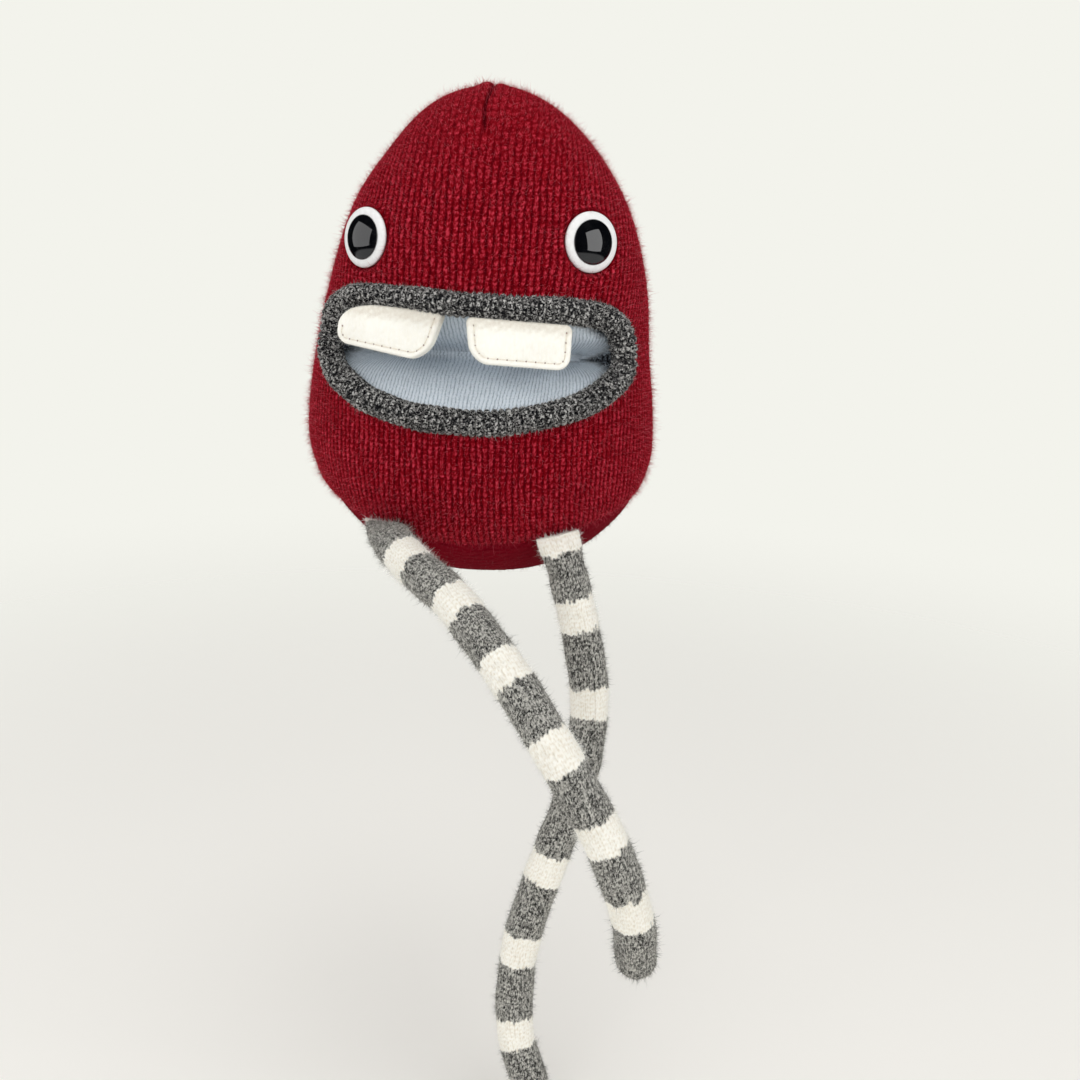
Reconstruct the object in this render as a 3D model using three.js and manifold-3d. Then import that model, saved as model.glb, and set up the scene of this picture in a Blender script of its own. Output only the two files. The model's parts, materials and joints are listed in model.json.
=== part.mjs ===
// A knitted plush monster: an egg-shaped stuffed body with a lined mouth pocket, button eyes,
// two felt teeth that flap under the lip, and two long legs sewn on above the base seam.
// Millimetres, +Z up. The face looks along -Y and the origin is the middle of the flat base.
import * as THREE from 'three';
import { mergeVertices } from 'three/addons/utils/BufferGeometryUtils.js';
import Module from 'manifold-3d';

const wasm = await Module();
wasm.setup();

// Gap left between pieces that touch
const CLEARANCE = 0.3;
// Points nearer than this are one point
const MERGE_DISTANCE = 1e-4;
// Step used to find a slope
const SLOPE_STEP = 0.01;

// Body: an egg on a flat base, closed by a front, a back and a base panel
const BODY_HEIGHT = 142.5;
const BODY_WIDTH = 105;
const BODY_DEPTH = 89;
const BASE_WIDTH = 47;
const WIDEST_HEIGHT = 40;
const CROWN_POWER = 2.08;
const CROWN_ROUND = 2.06;
const BELLY_POWER = 2.0;
const BELLY_ROUND = 1.7;
const PANEL_THICKNESS = 1.8;
const SEAM_FRONT_HEIGHT = 11.2;
const SEAM_SIDE_HEIGHT = 24;
const DART_DROP = 13.5;
const DART_WIDTH = 1.6;
const DART_STEPS = 6;
const SEAM_SEGMENTS = 48;
const SEAM_PASSES = 8;
const BODY_ROWS = 15;
const BODY_COLUMNS = 32;

// Mouth: a rolled lip on the body's surface round a lined pocket that narrows to a crease
const MOUTH_HEIGHT = 67.4;
const MOUTH_HALF_ANGLE = THREE.MathUtils.degToRad(58.5);
const MOUTH_RISE = 15.6;
const MOUTH_DROP = 16.8;
const LIP_SKEW = 1.5;
const LIP_TOP_POWER = 4.2;
const LIP_BOTTOM_POWER = 1.75;
const LIP_DIAMETER = 7.5;
const LINING_THICKNESS = 1.2;
const LINING_SWELL = 2.0;
const CREASE_SETBACK = 13;
const CREASE_DROP = 2;
const CREASE_HALF_WIDTH = 30;
const CREASE_HALF_GAPE = 1.2;
const MOUTH_RUN_OUT = 22;
const MOUTH_STEPS = 40;
const MOUTH_SAMPLES = 1600;
const LIP_SIDES = 8;
const POCKET_STEPS = 4;

// Eyes: a domed white disc under a black button whose shank a lock washer grips inside.
// They stand above the top of the mouth.
const EYE_RISE = 17;
const EYE_ANGLE = THREE.MathUtils.degToRad(48.6);
const EYE_SINK = 0.6;
const EYE_WHITE_DIAMETER = 17.2;
const EYE_WHITE_EDGE = 1.3;
const EYE_WHITE_CROWN = 1.4;
const EYE_BUTTON_DIAMETER = 12.8;
const EYE_BUTTON_EDGE = 0.3;
const EYE_BUTTON_CROWN = 2.6;
const EYE_SHANK_DIAMETER = 5;
const EYE_SHANK_LENGTH = 12;
const EYE_SHANK_CHAMFER = 0.75;
const EYE_WASHER_DIAMETER = 14;
const EYE_WASHER_DISH = 0.7;
const EYE_WASHER_THICKNESS = 1.2;
const EYE_SIDES = 24;
const EYE_WHITE_STEPS = 3;
const EYE_BUTTON_STEPS = 6;

// Teeth: two layers of felt sewn together and hung by their top edge under the lip
const FELT_THICKNESS = 1.7;
const TOOTH_TOP_CORNER = 4;
const TOOTH_BOTTOM_CORNER = 5;
const TOOTH_PROUD = 2.2;
const LEFT_TOOTH_WIDTH = 32;
const LEFT_TOOTH_HEIGHT = 10;
const LEFT_TOOTH_RAISE = 0.55;
const LEFT_TOOTH_ANGLE = THREE.MathUtils.degToRad(-27);
const LEFT_TOOTH_TURN = THREE.MathUtils.degToRad(10);
const LEFT_TOOTH_TILT = THREE.MathUtils.degToRad(0);
const LEFT_TOOTH_SLOPE = THREE.MathUtils.degToRad(9);
const RIGHT_TOOTH_WIDTH = 30;
const RIGHT_TOOTH_HEIGHT = 11.5;
const RIGHT_TOOTH_RAISE = 0;
const RIGHT_TOOTH_ANGLE = THREE.MathUtils.degToRad(17);
const RIGHT_TOOTH_TURN = THREE.MathUtils.degToRad(0);
const RIGHT_TOOTH_TILT = THREE.MathUtils.degToRad(4);
const RIGHT_TOOTH_SLOPE = THREE.MathUtils.degToRad(0);
const TOOTH_CORNER_STEPS = 6;

// Legs: stuffed tubes, pinched flat where they are sewn on just above the base seam
const HIP_ANGLE = THREE.MathUtils.degToRad(35.5);
const HIP_RISE = 3;
const LEFT_LEG_TILT = THREE.MathUtils.degToRad(0);
const RIGHT_LEG_TILT = THREE.MathUtils.degToRad(12);
const LEG_DIAMETER = 11.6;
const LEG_WALL = 1.4;
const LEG_TOP_WIDTH = 13;
const LEG_SLIT = 0.7;
const LEG_PINCH_LENGTH = 12;
const LEG_FILL_START = 8;
const LEG_STEPS = 22;
const LEG_STEP_GROWTH = 1.25;
const LEG_SIDES = 8;
const LEG_END_RINGS = 3;
const LEG_END_ANGLE = THREE.MathUtils.degToRad(79);
// Where each leg runs, as steps from its hip
const LEFT_LEG_ROUTE = [
  [10, -21, -4],
  [27.5, -40, -10.5],
  [44, -56.5, -23],
  [59.5, -69, -40],
  [72.5, -69, -63],
  [81, -64.5, -87.5],
  [83, -56.5, -109],
];
const RIGHT_LEG_ROUTE = [
  [7.5, -2, -24.5],
  [12.5, -3, -53.5],
  [9.5, -5, -79.5],
  [1.5, -8, -106.5],
  [-5, -11.5, -131],
  [-5.5, -16, -159.5],
  [2, -21.5, -178.5],
];

const FINISHES = {
  knit: { color: 0x750f18, roughness: 0.95 },
  base: { color: 0x7b152c, roughness: 0.9 },
  lip: { color: 0x555555, roughness: 0.95 },
  lining: { color: 0xafb8be, roughness: 0.95 },
  felt: { color: 0xfaf9ed, roughness: 0.95 },
  eyeWhite: { color: 0xececec, roughness: 0.35 },
  eyeButton: { color: 0x05070b, roughness: 0.08 },
  washer: { color: 0xdfe2e4, roughness: 0.5 },
  leg: { color: 0x8a8984, roughness: 0.95 },
  filling: { color: 0xf2f0ea, roughness: 1 },
};

// Turns a closed geometry into a solid that can be cut and joined
function solid(geometry) {
  const bare = geometry.clone();
  bare.deleteAttribute('normal');
  bare.deleteAttribute('uv');
  const merged = mergeVertices(bare, MERGE_DISTANCE);
  const index = merged.index.array;
  const triVerts = [];
  for (let i = 0; i < index.length; i += 3) {
    const [a, b, c] = [index[i], index[i + 1], index[i + 2]];
    if (a !== b && b !== c && c !== a) {
      triVerts.push(a, b, c);
    }
  }
  const vertProperties = new Float32Array(merged.attributes.position.array);
  const mesh = new wasm.Mesh({ numProp: 3, vertProperties, triVerts: new Uint32Array(triVerts) });
  return new wasm.Manifold(mesh);
}

// Turns a solid back into a geometry
function surface(body) {
  const mesh = body.getMesh();
  const geometry = new THREE.BufferGeometry();
  geometry.setAttribute('position', new THREE.BufferAttribute(mesh.vertProperties, 3));
  geometry.setIndex(new THREE.BufferAttribute(mesh.triVerts, 1));
  return geometry;
}

// Skins a row of loops of points, which run anticlockwise seen from outside the first loop.
// The ends are closed by fans, or the last loop is joined to the first.
function loft(loops, ring = false) {
  const sides = loops[0].length;
  const points = loops.flat();
  const index = [];
  const bands = ring ? loops.length : loops.length - 1;
  for (let i = 0; i < bands; i++) {
    const near = i * sides;
    const far = ((i + 1) % loops.length) * sides;
    for (let j = 0; j < sides; j++) {
      const k = (j + 1) % sides;
      index.push(near + j, far + k, near + k, near + j, far + j, far + k);
    }
  }
  if (!ring) {
    const last = (loops.length - 1) * sides;
    const ends = [loops[0], loops[loops.length - 1]].map(middle);
    points.push(...ends);
    for (let j = 0; j < sides; j++) {
      const k = (j + 1) % sides;
      index.push(points.length - 2, j, k, points.length - 1, last + k, last + j);
    }
  }
  const geometry = new THREE.BufferGeometry().setFromPoints(points);
  geometry.setIndex(index);
  return geometry;
}

function middle(loop) {
  const sum = loop.reduce((total, point) => total.add(point), new THREE.Vector3());
  return sum.divideScalar(loop.length);
}

function block(low, high) {
  const size = new THREE.Vector3().subVectors(high, low);
  const centre = new THREE.Vector3().addVectors(low, high).divideScalar(2);
  return solid(new THREE.BoxGeometry(size.x, size.y, size.z).translate(centre.x, centre.y, centre.z));
}

// The body's half width at a height, as a share of its widest
const baseShare = BASE_WIDTH / BODY_WIDTH;
const bellyReach = WIDEST_HEIGHT / (1 - baseShare ** BELLY_ROUND) ** (1 / BELLY_POWER);

function bodyShare(z) {
  if (z >= WIDEST_HEIGHT) {
    const rise = (z - WIDEST_HEIGHT) / (BODY_HEIGHT - WIDEST_HEIGHT);
    return Math.max(0, 1 - rise ** CROWN_POWER) ** (1 / CROWN_ROUND);
  }
  const fall = (WIDEST_HEIGHT - z) / bellyReach;
  return (1 - fall ** BELLY_POWER) ** (1 / BELLY_ROUND);
}

// A point of the body's surface: the angle is measured from the middle of the face
function bodyPoint(angle, z) {
  const share = bodyShare(z);
  return new THREE.Vector3(
    (BODY_WIDTH / 2) * share * Math.sin(angle),
    (-BODY_DEPTH / 2) * share * Math.cos(angle),
    z,
  );
}

// The frame of the body's surface at a point: across it, outwards and up along it
function bodyFrame(angle, z) {
  const step = SLOPE_STEP;
  const across = bodyPoint(angle + step, z).sub(bodyPoint(angle - step, z)).normalize();
  const up = bodyPoint(angle, z + step).sub(bodyPoint(angle, z - step)).normalize();
  const out = new THREE.Vector3().crossVectors(across, up).normalize();
  return { point: bodyPoint(angle, z), across, out, up: new THREE.Vector3().crossVectors(out, across) };
}

// The egg, drawn in from the body's surface by an inset
function egg(inset) {
  const radius = BODY_WIDTH / 2 - inset;
  const rise = (BODY_HEIGHT - 2 * inset) / BODY_HEIGHT;
  const profile = [new THREE.Vector2(0, inset)];
  for (let row = 0; row < BODY_ROWS; row++) {
    const z = (BODY_HEIGHT * (1 - Math.cos((Math.PI * row) / BODY_ROWS))) / 2;
    profile.push(new THREE.Vector2(radius * bodyShare(z), inset + rise * z));
  }
  profile.push(new THREE.Vector2(0, BODY_HEIGHT - inset));
  const geometry = new THREE.LatheGeometry(profile, BODY_COLUMNS);
  geometry.rotateX(Math.PI / 2);
  geometry.scale(1, (BODY_DEPTH / 2 - inset) / radius, 1);
  return solid(geometry);
}

// Everything below the base seam, which dips in front and behind and rises at the sides
function belowSeam(lift) {
  const half = BODY_WIDTH;
  const side = SEAM_FRONT_HEIGHT + (SEAM_SIDE_HEIGHT - SEAM_FRONT_HEIGHT) * 4;
  const shape = new THREE.Shape();
  shape.moveTo(-half, -BODY_HEIGHT);
  shape.lineTo(half, -BODY_HEIGHT);
  shape.lineTo(half, side + lift);
  shape.quadraticCurveTo(0, 2 * SEAM_FRONT_HEIGHT - side + lift, -half, side + lift);
  const options = { depth: 2 * BODY_DEPTH, bevelEnabled: false, curveSegments: SEAM_SEGMENTS };
  const geometry = new THREE.ExtrudeGeometry(shape, options);
  geometry.rotateX(Math.PI / 2);
  geometry.translate(0, BODY_DEPTH, 0);
  return solid(geometry);
}

function seamHeight(x) {
  return SEAM_FRONT_HEIGHT + (SEAM_SIDE_HEIGHT - SEAM_FRONT_HEIGHT) * ((2 * x) / BODY_WIDTH) ** 2;
}

// The mouth's outline on the surface: a flat-topped, deep-bottomed oval whose top drops to the right
function signedPower(value, power) {
  return Math.sign(value) * Math.abs(value) ** power;
}

function mouthShares(turn) {
  const power = 2 / (Math.sin(turn) > 0 ? LIP_TOP_POWER : LIP_BOTTOM_POWER);
  return { across: signedPower(Math.cos(turn), power), up: signedPower(Math.sin(turn), power) };
}

function mouthPlace(turn, grow) {
  const { across, up } = mouthShares(turn);
  const reach = (up > 0 ? MOUTH_RISE - LIP_SKEW * across : MOUTH_DROP) + grow;
  const halfAngle = MOUTH_HALF_ANGLE + grow / (BODY_WIDTH / 2);
  return { angle: halfAngle * across, z: MOUTH_HEIGHT + reach * up };
}

function mouthPoint(turn, grow = 0) {
  const { angle, z } = mouthPlace(turn, grow);
  return bodyPoint(angle, z);
}

// The turns that divide the outline into equal lengths
function evenTurns(count) {
  const samples = MOUTH_SAMPLES;
  const lengths = [0];
  for (let i = 1; i <= samples; i++) {
    const here = mouthPoint((2 * Math.PI * i) / samples);
    const before = mouthPoint((2 * Math.PI * (i - 1)) / samples);
    lengths.push(lengths[i - 1] + here.distanceTo(before));
  }
  const turns = [];
  for (let i = 0, k = 0; i < count; i++) {
    while (lengths[k] < (lengths[samples] * i) / count) {
      k++;
    }
    turns.push((2 * Math.PI * k) / samples);
  }
  return turns;
}

const mouthTurns = evenTurns(MOUTH_STEPS);

// The lip, or the room cut for it: a round section carried along the outline
function lipTube(radius) {
  const loops = mouthTurns.map((turn, i) => {
    const before = mouthPoint(mouthTurns[(i + MOUTH_STEPS - 1) % MOUTH_STEPS]);
    const after = mouthPoint(mouthTurns[(i + 1) % MOUTH_STEPS]);
    const along = after.sub(before).normalize();
    const { angle, z } = mouthPlace(turn, 0);
    const { point, out } = bodyFrame(angle, z);
    const aside = new THREE.Vector3().crossVectors(along, out).normalize();
    const face = new THREE.Vector3().crossVectors(aside, along);
    const loop = [];
    for (let j = 0; j < LIP_SIDES; j++) {
      const a = (2 * Math.PI * j) / LIP_SIDES;
      const spot = point.clone().addScaledVector(aside, radius * Math.cos(a));
      loop.push(spot.addScaledVector(face, radius * Math.sin(a)));
    }
    return loop;
  });
  return solid(loft(loops, true));
}

const creaseHeight = MOUTH_HEIGHT - CREASE_DROP;

// A point of the pocket's wall, from the lip at depth 0 to the crease at depth 1
function pocketPoint(turn, depth, grow) {
  const { across, up } = mouthShares(turn);
  const back = new THREE.Vector3(
    (CREASE_HALF_WIDTH + grow) * across,
    -CREASE_SETBACK + grow,
    creaseHeight + (CREASE_HALF_GAPE + grow) * up,
  );
  const point = mouthPoint(turn, grow).lerp(back, depth);
  point.z -= LINING_SWELL * Math.sin(Math.PI * depth) * up;
  return point;
}

// The pocket's hollow, grown by a wall, and run out through the front of the body
function pocket(grow) {
  const runOut = new THREE.Vector3(0, -MOUTH_RUN_OUT, 0);
  const loops = [mouthTurns.map((turn) => pocketPoint(turn, 0, grow).add(runOut))];
  for (let i = 0; i <= POCKET_STEPS; i++) {
    loops.push(mouthTurns.map((turn) => pocketPoint(turn, i / POCKET_STEPS, grow)));
  }
  return solid(loft(loops));
}

// A body of revolution about +Z from points of radius and height
function turned(profile, sides) {
  const points = profile.map(([radius, height]) => new THREE.Vector2(radius, height));
  return new THREE.LatheGeometry(points, sides).rotateX(Math.PI / 2);
}

// Points on a dome from a rim to its crown, without the rim itself
function dome(rimRadius, rimHeight, crownRadius, crownHeight, steps) {
  const points = [];
  for (let i = 1; i <= steps; i++) {
    const a = (Math.PI / 2) * (i / steps);
    const radius = crownRadius + (rimRadius - crownRadius) * Math.cos(a);
    points.push([radius, rimHeight + (crownHeight - rimHeight) * Math.sin(a)]);
  }
  return points;
}

// Eye pieces in their own frame: +Z points out of the body and z = 0 is the knit's surface
const eyeHeight = MOUTH_HEIGHT + MOUTH_RISE + EYE_RISE;
const eyeBack = -EYE_SINK;
const eyeSeat = eyeBack + EYE_WHITE_CROWN;
const shankRadius = EYE_SHANK_DIAMETER / 2;
const shankHole = shankRadius + CLEARANCE;
const buttonBack = eyeSeat + CLEARANCE;
const washerFront = -PANEL_THICKNESS - CLEARANCE;
const washerBack = washerFront - EYE_WASHER_DISH - EYE_WASHER_THICKNESS;
const shankEnd = buttonBack - EYE_SHANK_LENGTH;

function eyeWhite() {
  const rim = EYE_WHITE_DIAMETER / 2;
  const seat = EYE_BUTTON_DIAMETER / 2 + CLEARANCE;
  return turned([
    [shankHole, eyeBack],
    [rim - EYE_WHITE_EDGE / 2, eyeBack],
    [rim, eyeBack + EYE_WHITE_EDGE / 2],
    [rim, eyeBack + EYE_WHITE_EDGE],
    ...dome(rim, eyeBack + EYE_WHITE_EDGE, seat, eyeSeat, EYE_WHITE_STEPS),
    [shankHole, eyeSeat],
    [shankHole, eyeBack],
  ], EYE_SIDES);
}

function eyeButton() {
  const rim = EYE_BUTTON_DIAMETER / 2;
  const edge = buttonBack + EYE_BUTTON_EDGE;
  return turned([
    [0, shankEnd],
    [shankRadius - EYE_SHANK_CHAMFER, shankEnd],
    [shankRadius, shankEnd + EYE_SHANK_CHAMFER],
    [shankRadius, buttonBack],
    [rim, buttonBack],
    [rim, edge],
    ...dome(rim, edge, 0, buttonBack + EYE_BUTTON_CROWN, EYE_BUTTON_STEPS),
  ], EYE_SIDES);
}

function eyeWasher() {
  const rim = EYE_WASHER_DIAMETER / 2;
  return turned([
    [shankHole, washerBack],
    [rim, washerBack],
    [rim, washerFront - EYE_WASHER_DISH],
    [shankHole, washerFront],
    [shankHole, washerBack],
  ], EYE_SIDES);
}

// The dimple that the white disc presses into the knit, with the shank's hole
function eyeDimple() {
  const rim = EYE_WHITE_DIAMETER / 2 + CLEARANCE;
  return turned([
    [0, shankEnd],
    [shankHole, shankEnd],
    [shankHole, eyeBack - CLEARANCE],
    [rim, eyeBack - CLEARANCE],
    [rim, eyeSeat],
    [0, eyeSeat],
  ], EYE_SIDES);
}

// The room in the stuffing for the washer and the shank
function eyeHollow() {
  const rim = EYE_WASHER_DIAMETER / 2 + CLEARANCE;
  return turned([
    [0, shankEnd - CLEARANCE],
    [shankHole, shankEnd - CLEARANCE],
    [shankHole, washerBack - CLEARANCE],
    [rim, washerBack - CLEARANCE],
    [rim, eyeSeat],
    [0, eyeSeat],
  ], EYE_SIDES);
}

function eyePlace(side) {
  const { point, across, out, up } = bodyFrame(side * EYE_ANGLE, eyeHeight);
  const turn = new THREE.Quaternion().setFromRotationMatrix(new THREE.Matrix4().makeBasis(across, up, out));
  return new THREE.Matrix4().compose(point, turn, new THREE.Vector3(1, 1, 1));
}

// The dart that gathers a panel at the crown: a groove along its middle
function dartGroove(angle) {
  const loops = [];
  const length = DART_DROP - CLEARANCE;
  for (let i = 0; i <= DART_STEPS; i++) {
    const rise = length * Math.sin((Math.PI / 2) * (i / DART_STEPS));
    const frame = bodyFrame(angle, BODY_HEIGHT - DART_DROP + rise);
    const half = (DART_WIDTH / 2) * Math.sqrt((i + 1) / (DART_STEPS + 1));
    loops.push([
      frame.point.clone().addScaledVector(frame.out, -half),
      frame.point.clone().addScaledVector(frame.across, half).addScaledVector(frame.out, half),
      frame.point.clone().addScaledVector(frame.across, -half).addScaledVector(frame.out, half),
    ]);
  }
  return solid(loft(loops));
}

// A tooth's layer of felt: its top edge lies along X, and the layer hangs below it.
// Its bottom edge slopes down towards +X.
function toothLayer({ width, height, slope }) {
  const half = width / 2;
  const shape = new THREE.Shape();
  const top = TOOTH_TOP_CORNER;
  const bottom = TOOTH_BOTTOM_CORNER;
  shape.moveTo(half - top, 0);
  shape.absarc(-half + top, -top, top, Math.PI / 2, Math.PI, false);
  shape.absarc(-half + bottom, -height + bottom, bottom, Math.PI, 1.5 * Math.PI, false);
  shape.absarc(half - bottom, -height + bottom, bottom, 1.5 * Math.PI, 2 * Math.PI, false);
  shape.absarc(half - top, -top, top, 0, Math.PI / 2, false);
  const points = shape.getPoints(TOOTH_CORNER_STEPS);
  points.forEach((point) => {
    point.y *= 1 + (point.x * Math.tan(slope)) / height;
  });
  const options = { depth: FELT_THICKNESS, bevelEnabled: false };
  return new THREE.ExtrudeGeometry(new THREE.Shape(points), options);
}

// The group that a tooth's layers hang in: X along the lip, Z out of the body.
// The top edge hangs below the lip over the edge's straight part. The group is turned about its
// upright, which brings its -X end forward, and tilted about Z, which lowers its +X end.
// A tooth whose end stands in front of the lip is raised to it.
function toothGroup({ angle, width, raise, turn, tilt }) {
  const reach = width / 2 - TOOTH_TOP_CORNER / 2;
  const heights = [-reach, reach].map((x) => lipTop(angle + x / (BODY_DEPTH / 2)) + x * Math.sin(tilt));
  const { point, across, out, up } = bodyFrame(angle, Math.min(...heights));
  const group = new THREE.Group();
  group.position.copy(point);
  group.position.addScaledVector(up, raise - LIP_DIAMETER / 2 - CLEARANCE);
  group.position.addScaledVector(out, TOOTH_PROUD);
  group.quaternion.setFromRotationMatrix(new THREE.Matrix4().makeBasis(across, up, out));
  group.rotateY(turn);
  group.rotateZ(-tilt);
  return group;
}

// The height of the upper lip's middle at an angle
function lipTop(angle) {
  const across = angle / MOUTH_HALF_ANGLE;
  const share = (1 - Math.abs(across) ** LIP_TOP_POWER) ** (1 / LIP_TOP_POWER);
  return MOUTH_HEIGHT + (MOUTH_RISE - LIP_SKEW * across) * share;
}

const TEETH = {
  left: {
    width: LEFT_TOOTH_WIDTH,
    height: LEFT_TOOTH_HEIGHT,
    raise: LEFT_TOOTH_RAISE,
    angle: LEFT_TOOTH_ANGLE,
    turn: LEFT_TOOTH_TURN,
    tilt: LEFT_TOOTH_TILT,
    slope: LEFT_TOOTH_SLOPE,
  },
  right: {
    width: RIGHT_TOOTH_WIDTH,
    height: RIGHT_TOOTH_HEIGHT,
    raise: RIGHT_TOOTH_RAISE,
    angle: RIGHT_TOOTH_ANGLE,
    turn: RIGHT_TOOTH_TURN,
    tilt: RIGHT_TOOTH_TILT,
    slope: RIGHT_TOOTH_SLOPE,
  },
};

// The leg's thickness where it is pinched flat
const legTopThickness = 2 * LEG_WALL + LEG_SLIT;

// A leg's hip above the base seam, its sewn edge tilted, and the route from it
function legRoute(side, tilt, steps) {
  let height = SEAM_FRONT_HEIGHT;
  for (let i = 0; i < SEAM_PASSES; i++) {
    height = seamHeight(bodyPoint(side * HIP_ANGLE, height).x);
  }
  const hip = bodyFrame(side * HIP_ANGLE, height + HIP_RISE);
  hip.across.applyAxisAngle(hip.out, tilt);
  const points = steps.map((step) => hip.point.clone().add(new THREE.Vector3(...step)));
  const first = new THREE.Vector3(...steps[0]).normalize();
  const thin = new THREE.Vector3().crossVectors(first, hip.across).normalize();
  const lift = CLEARANCE + Math.abs(thin.dot(hip.out)) * (legTopThickness / 2);
  const root = hip.point.clone().addScaledVector(hip.out, lift);
  return { curve: new THREE.CatmullRomCurve3([root, ...points], false, 'centripetal'), hip };
}

// A leg's outside, or its hollow when drawn in by an inset, between two places along the route
function legTube({ curve, hip }, inset, start) {
  const length = curve.getLength();
  const radius = LEG_DIAMETER / 2;
  const straight = length - radius;
  const places = start < 0 ? [[start, 1]] : [];
  for (let i = 0; i <= LEG_STEPS; i++) {
    const place = straight * (i / LEG_STEPS) ** LEG_STEP_GROWTH;
    if (place >= start) {
      places.push([place, 1]);
    }
  }
  for (let i = 1; i <= LEG_END_RINGS; i++) {
    const a = LEG_END_ANGLE * (i / LEG_END_RINGS);
    places.push([straight + (radius - inset) * Math.sin(a), Math.cos(a)]);
  }
  let aside = hip.across.clone();
  const loops = places.map(([place, taper]) => {
    const share = THREE.MathUtils.clamp(place / length, 0, 1);
    const along = curve.getTangentAt(share);
    const centre = curve.getPointAt(share).addScaledVector(along, Math.min(place, 0));
    const square = aside.clone().addScaledVector(along, -aside.dot(along)).normalize();
    const turn = THREE.MathUtils.smoothstep(place, 0, LEG_PINCH_LENGTH);
    aside = hip.across.clone().lerp(square, turn).normalize();
    const thin = new THREE.Vector3().crossVectors(aside, along).normalize();
    const halfWidth = (THREE.MathUtils.lerp(LEG_TOP_WIDTH / 2, radius, turn) - inset) * taper;
    const halfThick = (THREE.MathUtils.lerp(legTopThickness / 2, radius, Math.sqrt(turn)) - inset) * taper;
    const loop = [];
    for (let j = 0; j < LEG_SIDES; j++) {
      const a = (2 * Math.PI * j) / LEG_SIDES;
      const spot = centre.clone().addScaledVector(aside, halfWidth * Math.cos(a));
      loop.push(spot.addScaledVector(thin, halfThick * Math.sin(a)));
    }
    return loop;
  });
  return solid(loft(loops));
}

function mesh(name, geometry, finish) {
  const piece = new THREE.Mesh(geometry, new THREE.MeshStandardMaterial(finish));
  piece.name = name;
  return piece;
}

const group = new THREE.Group();

// Body panels
const far = 2 * BODY_HEIGHT;
const seamHalf = CLEARANCE / 2;
const lipRoom = lipTube(LIP_DIAMETER / 2 + CLEARANCE);
const mouthHollow = pocket(0);
const innerEgg = egg(PANEL_THICKNESS);
const fillEgg = egg(PANEL_THICKNESS + CLEARANCE);
const shell = egg(0).subtract(innerEgg);
const upperShell = shell.subtract(belowSeam(seamHalf));
const frontHalf = block(new THREE.Vector3(-far, -far, -far), new THREE.Vector3(far, -seamHalf, far));
const backHalf = block(new THREE.Vector3(-far, seamHalf, -far), new THREE.Vector3(far, far, far));
let frontPanel = upperShell.intersect(frontHalf).subtract(lipRoom).subtract(mouthHollow);
frontPanel = frontPanel.subtract(dartGroove(0));
const backPanel = upperShell.intersect(backHalf).subtract(dartGroove(Math.PI));
const basePanel = shell.intersect(belowSeam(-seamHalf));

// Stuffing with room for the pocket, the lip and the eyes' washers
let stuffing = fillEgg.subtract(pocket(LINING_THICKNESS + CLEARANCE)).subtract(lipRoom);

// Eyes, each in a group of its own
for (const [name, side] of [['left', -1], ['right', 1]]) {
  const place = eyePlace(side);
  frontPanel = frontPanel.subtract(solid(eyeDimple().applyMatrix4(place)));
  stuffing = stuffing.subtract(solid(eyeHollow().applyMatrix4(place)));
  const eye = new THREE.Group();
  place.decompose(eye.position, eye.quaternion, eye.scale);
  eye.add(mesh(`eye_${name}_white`, surface(solid(eyeWhite())), FINISHES.eyeWhite));
  eye.add(mesh(`eye_${name}_button`, surface(solid(eyeButton())), FINISHES.eyeButton));
  eye.add(mesh(`eye_${name}_washer`, surface(solid(eyeWasher())), FINISHES.washer));
  group.add(eye);
}

group.add(mesh('front_panel', surface(frontPanel), FINISHES.knit));
group.add(mesh('back_panel', surface(backPanel), FINISHES.knit));
group.add(mesh('base_panel', surface(basePanel), FINISHES.base));
group.add(mesh('body_stuffing', surface(stuffing), FINISHES.filling));

// Lip and pocket lining, whose roof and floor meet at the crease
const lining = pocket(LINING_THICKNESS).subtract(mouthHollow).intersect(fillEgg).subtract(lipRoom);
const creaseTop = creaseHeight + seamHalf;
const creaseBottom = creaseHeight - seamHalf;
const aboveCrease = block(new THREE.Vector3(-far, -far, creaseTop), new THREE.Vector3(far, far, far));
const belowCrease = block(new THREE.Vector3(-far, -far, -far), new THREE.Vector3(far, far, creaseBottom));
group.add(mesh('lip_band', surface(lipTube(LIP_DIAMETER / 2)), FINISHES.lip));
group.add(mesh('mouth_roof_lining', surface(lining.intersect(aboveCrease)), FINISHES.lining));
group.add(mesh('mouth_floor_lining', surface(lining.intersect(belowCrease)), FINISHES.lining));

// Teeth
for (const [name, cut] of Object.entries(TEETH)) {
  const tooth = toothGroup(cut);
  const layer = solid(toothLayer(cut));
  const front = mesh(`tooth_${name}_front`, surface(layer), FINISHES.felt);
  const back = mesh(`tooth_${name}_back`, surface(layer), FINISHES.felt);
  front.position.z = -FELT_THICKNESS;
  back.position.z = -2 * FELT_THICKNESS - CLEARANCE;
  tooth.add(front, back);
  group.add(tooth);
}

// Legs: a knitted cover, open at its pinched top, round its own stuffing
for (const [name, side, tilt, steps] of [
  ['left', -1, LEFT_LEG_TILT, LEFT_LEG_ROUTE],
  ['right', 1, RIGHT_LEG_TILT, RIGHT_LEG_ROUTE],
]) {
  const route = legRoute(side, tilt, steps);
  const cover = legTube(route, 0, 0).subtract(legTube(route, LEG_WALL, -LEG_WALL));
  const filling = legTube(route, LEG_WALL + CLEARANCE, LEG_FILL_START);
  group.add(mesh(`leg_${name}_cover`, surface(cover), FINISHES.leg));
  group.add(mesh(`leg_${name}_stuffing`, surface(filling), FINISHES.filling));
}

export default group;
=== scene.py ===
"""Looks of a knitted plush monster: felted knit panels, a ribbed lip round a lined mouth, felt teeth,
button eyes and striped legs, worked out as surfaces round the packed part. Metres, +Z up, face along -Y."""
import json
import math

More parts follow.
